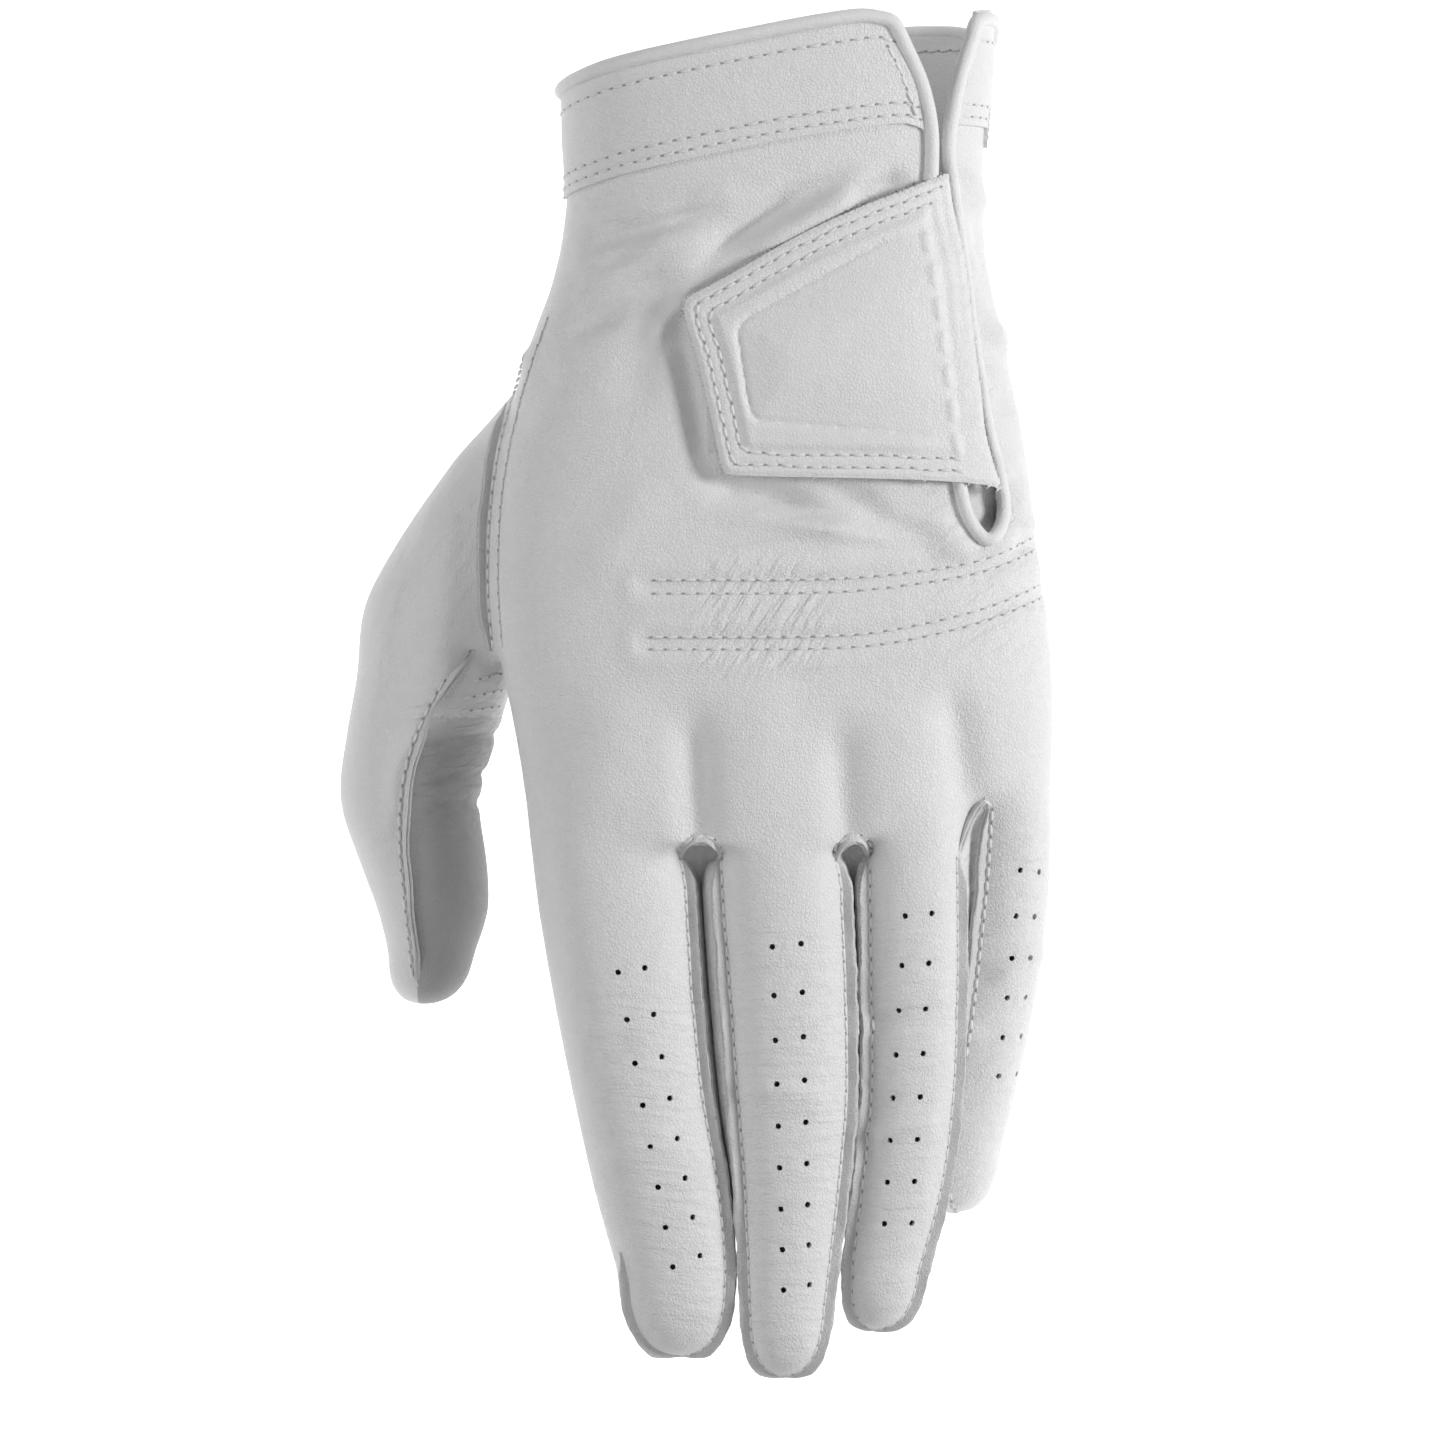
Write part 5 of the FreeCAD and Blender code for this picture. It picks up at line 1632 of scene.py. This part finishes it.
class GLOVE_OT_tab(bpy.types.Operator):
    """Closure tab: moulded cover, core, lining, hook tape and sewing"""

    bl_idname = "glove.tab"
    bl_label = "Closure tab"

    def execute(self, context):
        step = 0.4
        outline, xs, zs, x, z = tab_surface(step)
        rows, columns = len(xs), len(zs)
        y = tab_base(x, z)
        within, _ = inside(x, z, outline)
        faces = grid_faces(rows, columns)
        faces = faces[np.all(within[faces], axis=1)]
        used = np.zeros(len(x), bool)
        used[np.unique(faces)] = True
        rim = np.unique(border_of(faces, len(x)))
        x[rim], z[rim] = nearest_on(np.vstack([outline, outline[:1]]), x[rim], z[rim])
        _, depth = inside(x, z, outline)
        crown = context.scene.glove_sizes.tab_crown / MM
        height = tab_height(x, z, depth, crown)
        flat = np.stack([x, y, z], axis=1)
        up = grid_normals(flat, rows, columns)
        up[up[:, 1] > 0] *= -1
        top = flat + up * (0.75 + height)[:, None]
        top_normal = grid_normals(top, rows, columns)
        top_normal[top_normal[:, 1] > 0] *= -1
        faces = turned_out(faces, top, top_normal)
        cover = thick_sheet("tab_cover_leather", top, top_normal, faces, -0.85, 0.0, finish("embossed_leather"))
        place_on(cover, "closure_tab", "embossed_leather", "tab_cover", "tab_frame")
        self.layer("tab_lining_leather", flat, up, faces, depth, 0.35, -0.55, -0.12, "lining_leather", "tab_lining")
        self.layer("tab_padding", flat, up, faces, depth, 4.5, -0.1, 0.06, "tab_foam", "tab_core")
        shown = (x > -11) & (x < 19)
        self.layer("hook_tape_patch", flat, up, faces, np.where(shown, depth, -1), 5.0, -1.1, -0.57, "hook_tape",
                   "hook_patch")
        runs = []
        loop = rounded(TAB_EDGE[:17], 2)
        for row in TAB_CORNER_ROWS:
            line = self.inset(loop, row, outline)
            near = [int(np.argmin((x - a) ** 2 + (z - b) ** 2 + 1e6 * ~used)) for a, b in line]
            runs.append((top[near] + top_normal[near] * 0.03, top_normal[near]))
        place_on(sewn("tab_sewing", runs, finish("thread")), "closure_tab", "thread", "tab_stitching")
        return {"FINISHED"}

    @staticmethod
    def inset(path, distance, outline):
        """The path moved inwards from its edge, thinned of the points that fold over at corners."""
        path = resample(path, 0.8)
        tangent = np.gradient(path, axis=0)
        tangent = unit(tangent)
        inwards = np.stack([-tangent[:, 1], tangent[:, 0]], axis=1)
        if not inside((path + inwards)[20:21, 0], (path + inwards)[20:21, 1], outline)[0][0]:
            inwards = -inwards
        moved = path + inwards * distance
        within, away = inside(moved[:, 0], moved[:, 1], outline)
        moved = moved[within & (away > distance - 0.12) & (moved[:, 0] < 31)]
        return resample(rounded(moved, 1), 0.8)

    @staticmethod
    def layer(name, flat, up, faces, depth, edge, low, high, slot, node):
        """One layer under the cover, over the part of the tab that lies deeper than edge."""
        own = np.all(depth[faces] > edge, axis=1)
        piece = thick_sheet(name, flat, up, faces[own], low - 0.1, high - 0.1, finish(slot))
        place_on(piece, "closure_tab", slot, node)
        return piece


class GLOVE_OT_inside(bpy.types.Operator):
    """Elastics, loop tape and blank label inside the glove"""

    bl_idname = "glove.inside"
    bl_label = "Inside pieces"

    def execute(self, context):
        self.patch("wrist_elastic_tape", (-20, 33), (-42.5, -23.5), -1, -1.75, -0.95, "elastic", "wrist_elastic")
        self.patch("upper_knuckle_elastic_tape", (-20, 36), (-87.4, -84.4), 1, -1.5, -0.85, "elastic",
                   "upper_knuckle_elastic", rise=(0.0, 6.0))
        self.patch("lower_knuckle_elastic_tape", (-20, 37), (-96.6, -93.4), 1, -1.5, -0.85, "elastic",
                   "lower_knuckle_elastic", rise=(0.0, 6.2))
        self.patch("loop_tape_patch", (-11, 17), (-64, -42), 1, 0.02, 0.55, "loop_tape", "loop_patch")
        self.underlay()
        label = self.patch("blank_label", (-9, 9), (-19, -6), -1, -1.25, -0.9, "label_cloth", "size_label")
        return {"FINISHED"}

    @staticmethod
    def underlay():
        """A strip of lining leather under the slit, a little below its lips."""
        s = skin()
        rows, columns = 60, 14
        place = []
        for z in np.linspace(-82.5, -23.0, rows):
            ends = [np.interp(z, np.array(lip)[::step, 1], np.array(lip)[::step, 0]) + off
                    for lip, step, off in ((LIP_LEFT, -1, -3.2), (LIP_RIGHT, 1, 3.2))]
            (left, left_normal), (right, right_normal) = [s.drop(float(x), float(z)) for x in ends]
            left, right = left - left_normal * 2.3, right - right_normal * 2.3
            place += [left + (right - left) * t - (0, 0.8 * math.sin(math.pi * t), 0)
                      for t in np.linspace(0, 1, columns)]
        place = np.array(place)
        normal = grid_normals(place, rows, columns)
        normal[normal[:, 1] > 0] *= -1
        faces = turned_out(grid_faces(rows, columns), place, normal)
        piece = thick_sheet("slit_underlay_leather", place, normal, faces, -0.5, 0.0, finish("lining_leather"))
        place_on(piece, "hand", "lining_leather")

    @staticmethod
    def patch(name, across, levels, side, low, high, slot, node, rise=(0.0, 0.0)):
        """A flat tape laid on the inside or outside of the leather, over the back (1) or the palm (-1)."""
        s = skin()
        rows, columns = 40, 22
        place, normal = [], []
        for a in np.linspace(*across, rows):
            up = np.interp(a, (8.0, across[1]), rise)
            for b in np.linspace(*levels, columns):
                hit = s.drop(a, b + up, side)
                place.append(hit[0])
                normal.append(hit[1])
        place, normal = np.array(place), np.array(normal)
        faces = turned_out(grid_faces(rows, columns), place, normal)
        piece = thick_sheet(name, place, normal, faces, low, high, finish(slot))
        return place_on(piece, "hand", slot, node)


OPERATORS = (
    GLOVE_OT_stage, GLOVE_OT_leather, GLOVE_OT_cuff, GLOVE_OT_slit, GLOVE_OT_finger_seams, GLOVE_OT_side_seams,
    GLOVE_OT_knuckle_rows, GLOVE_OT_tab, GLOVE_OT_inside,
)


class GLOVE_PT_panel(bpy.types.Panel):
    """Buttons that make the glove's pieces"""

    bl_idname = "GLOVE_PT_panel"
    bl_label = "Glove"
    bl_space_type = "VIEW_3D"
    bl_region_type = "UI"
    bl_category = "Glove"

    def draw(self, context):
        for group in (context.scene.glove_sizes, context.scene.glove_colours):
            for key in group.bl_rna.properties.keys():
                if key not in ("name", "rna_type"):
                    self.layout.prop(group, key)
        for operator in OPERATORS:
            self.layout.operator(operator.bl_idname)


CLASSES = (GloveSizes, GloveColours, *OPERATORS, GLOVE_PT_panel)


def register():
    """Make the glove's classes and settings known."""
    for item in CLASSES:
        bpy.utils.register_class(item)
    bpy.types.Scene.glove_sizes = bpy.props.PointerProperty(type=GloveSizes)
    bpy.types.Scene.glove_colours = bpy.props.PointerProperty(type=GloveColours)


def unregister():
    """Take the glove's classes and settings away again."""
    del bpy.types.Scene.glove_colours
    del bpy.types.Scene.glove_sizes
    for item in reversed(CLASSES):
        bpy.utils.unregister_class(item)


def main():
    """Make every piece in order."""
    register()
    for operator in OPERATORS:
        group, name = operator.bl_idname.split(".")
        result = getattr(getattr(bpy.ops, group), name)()
        if result != {"FINISHED"}:
            raise RuntimeError(f"{operator.bl_idname} did not finish")


if __name__ == "__main__":
    main()
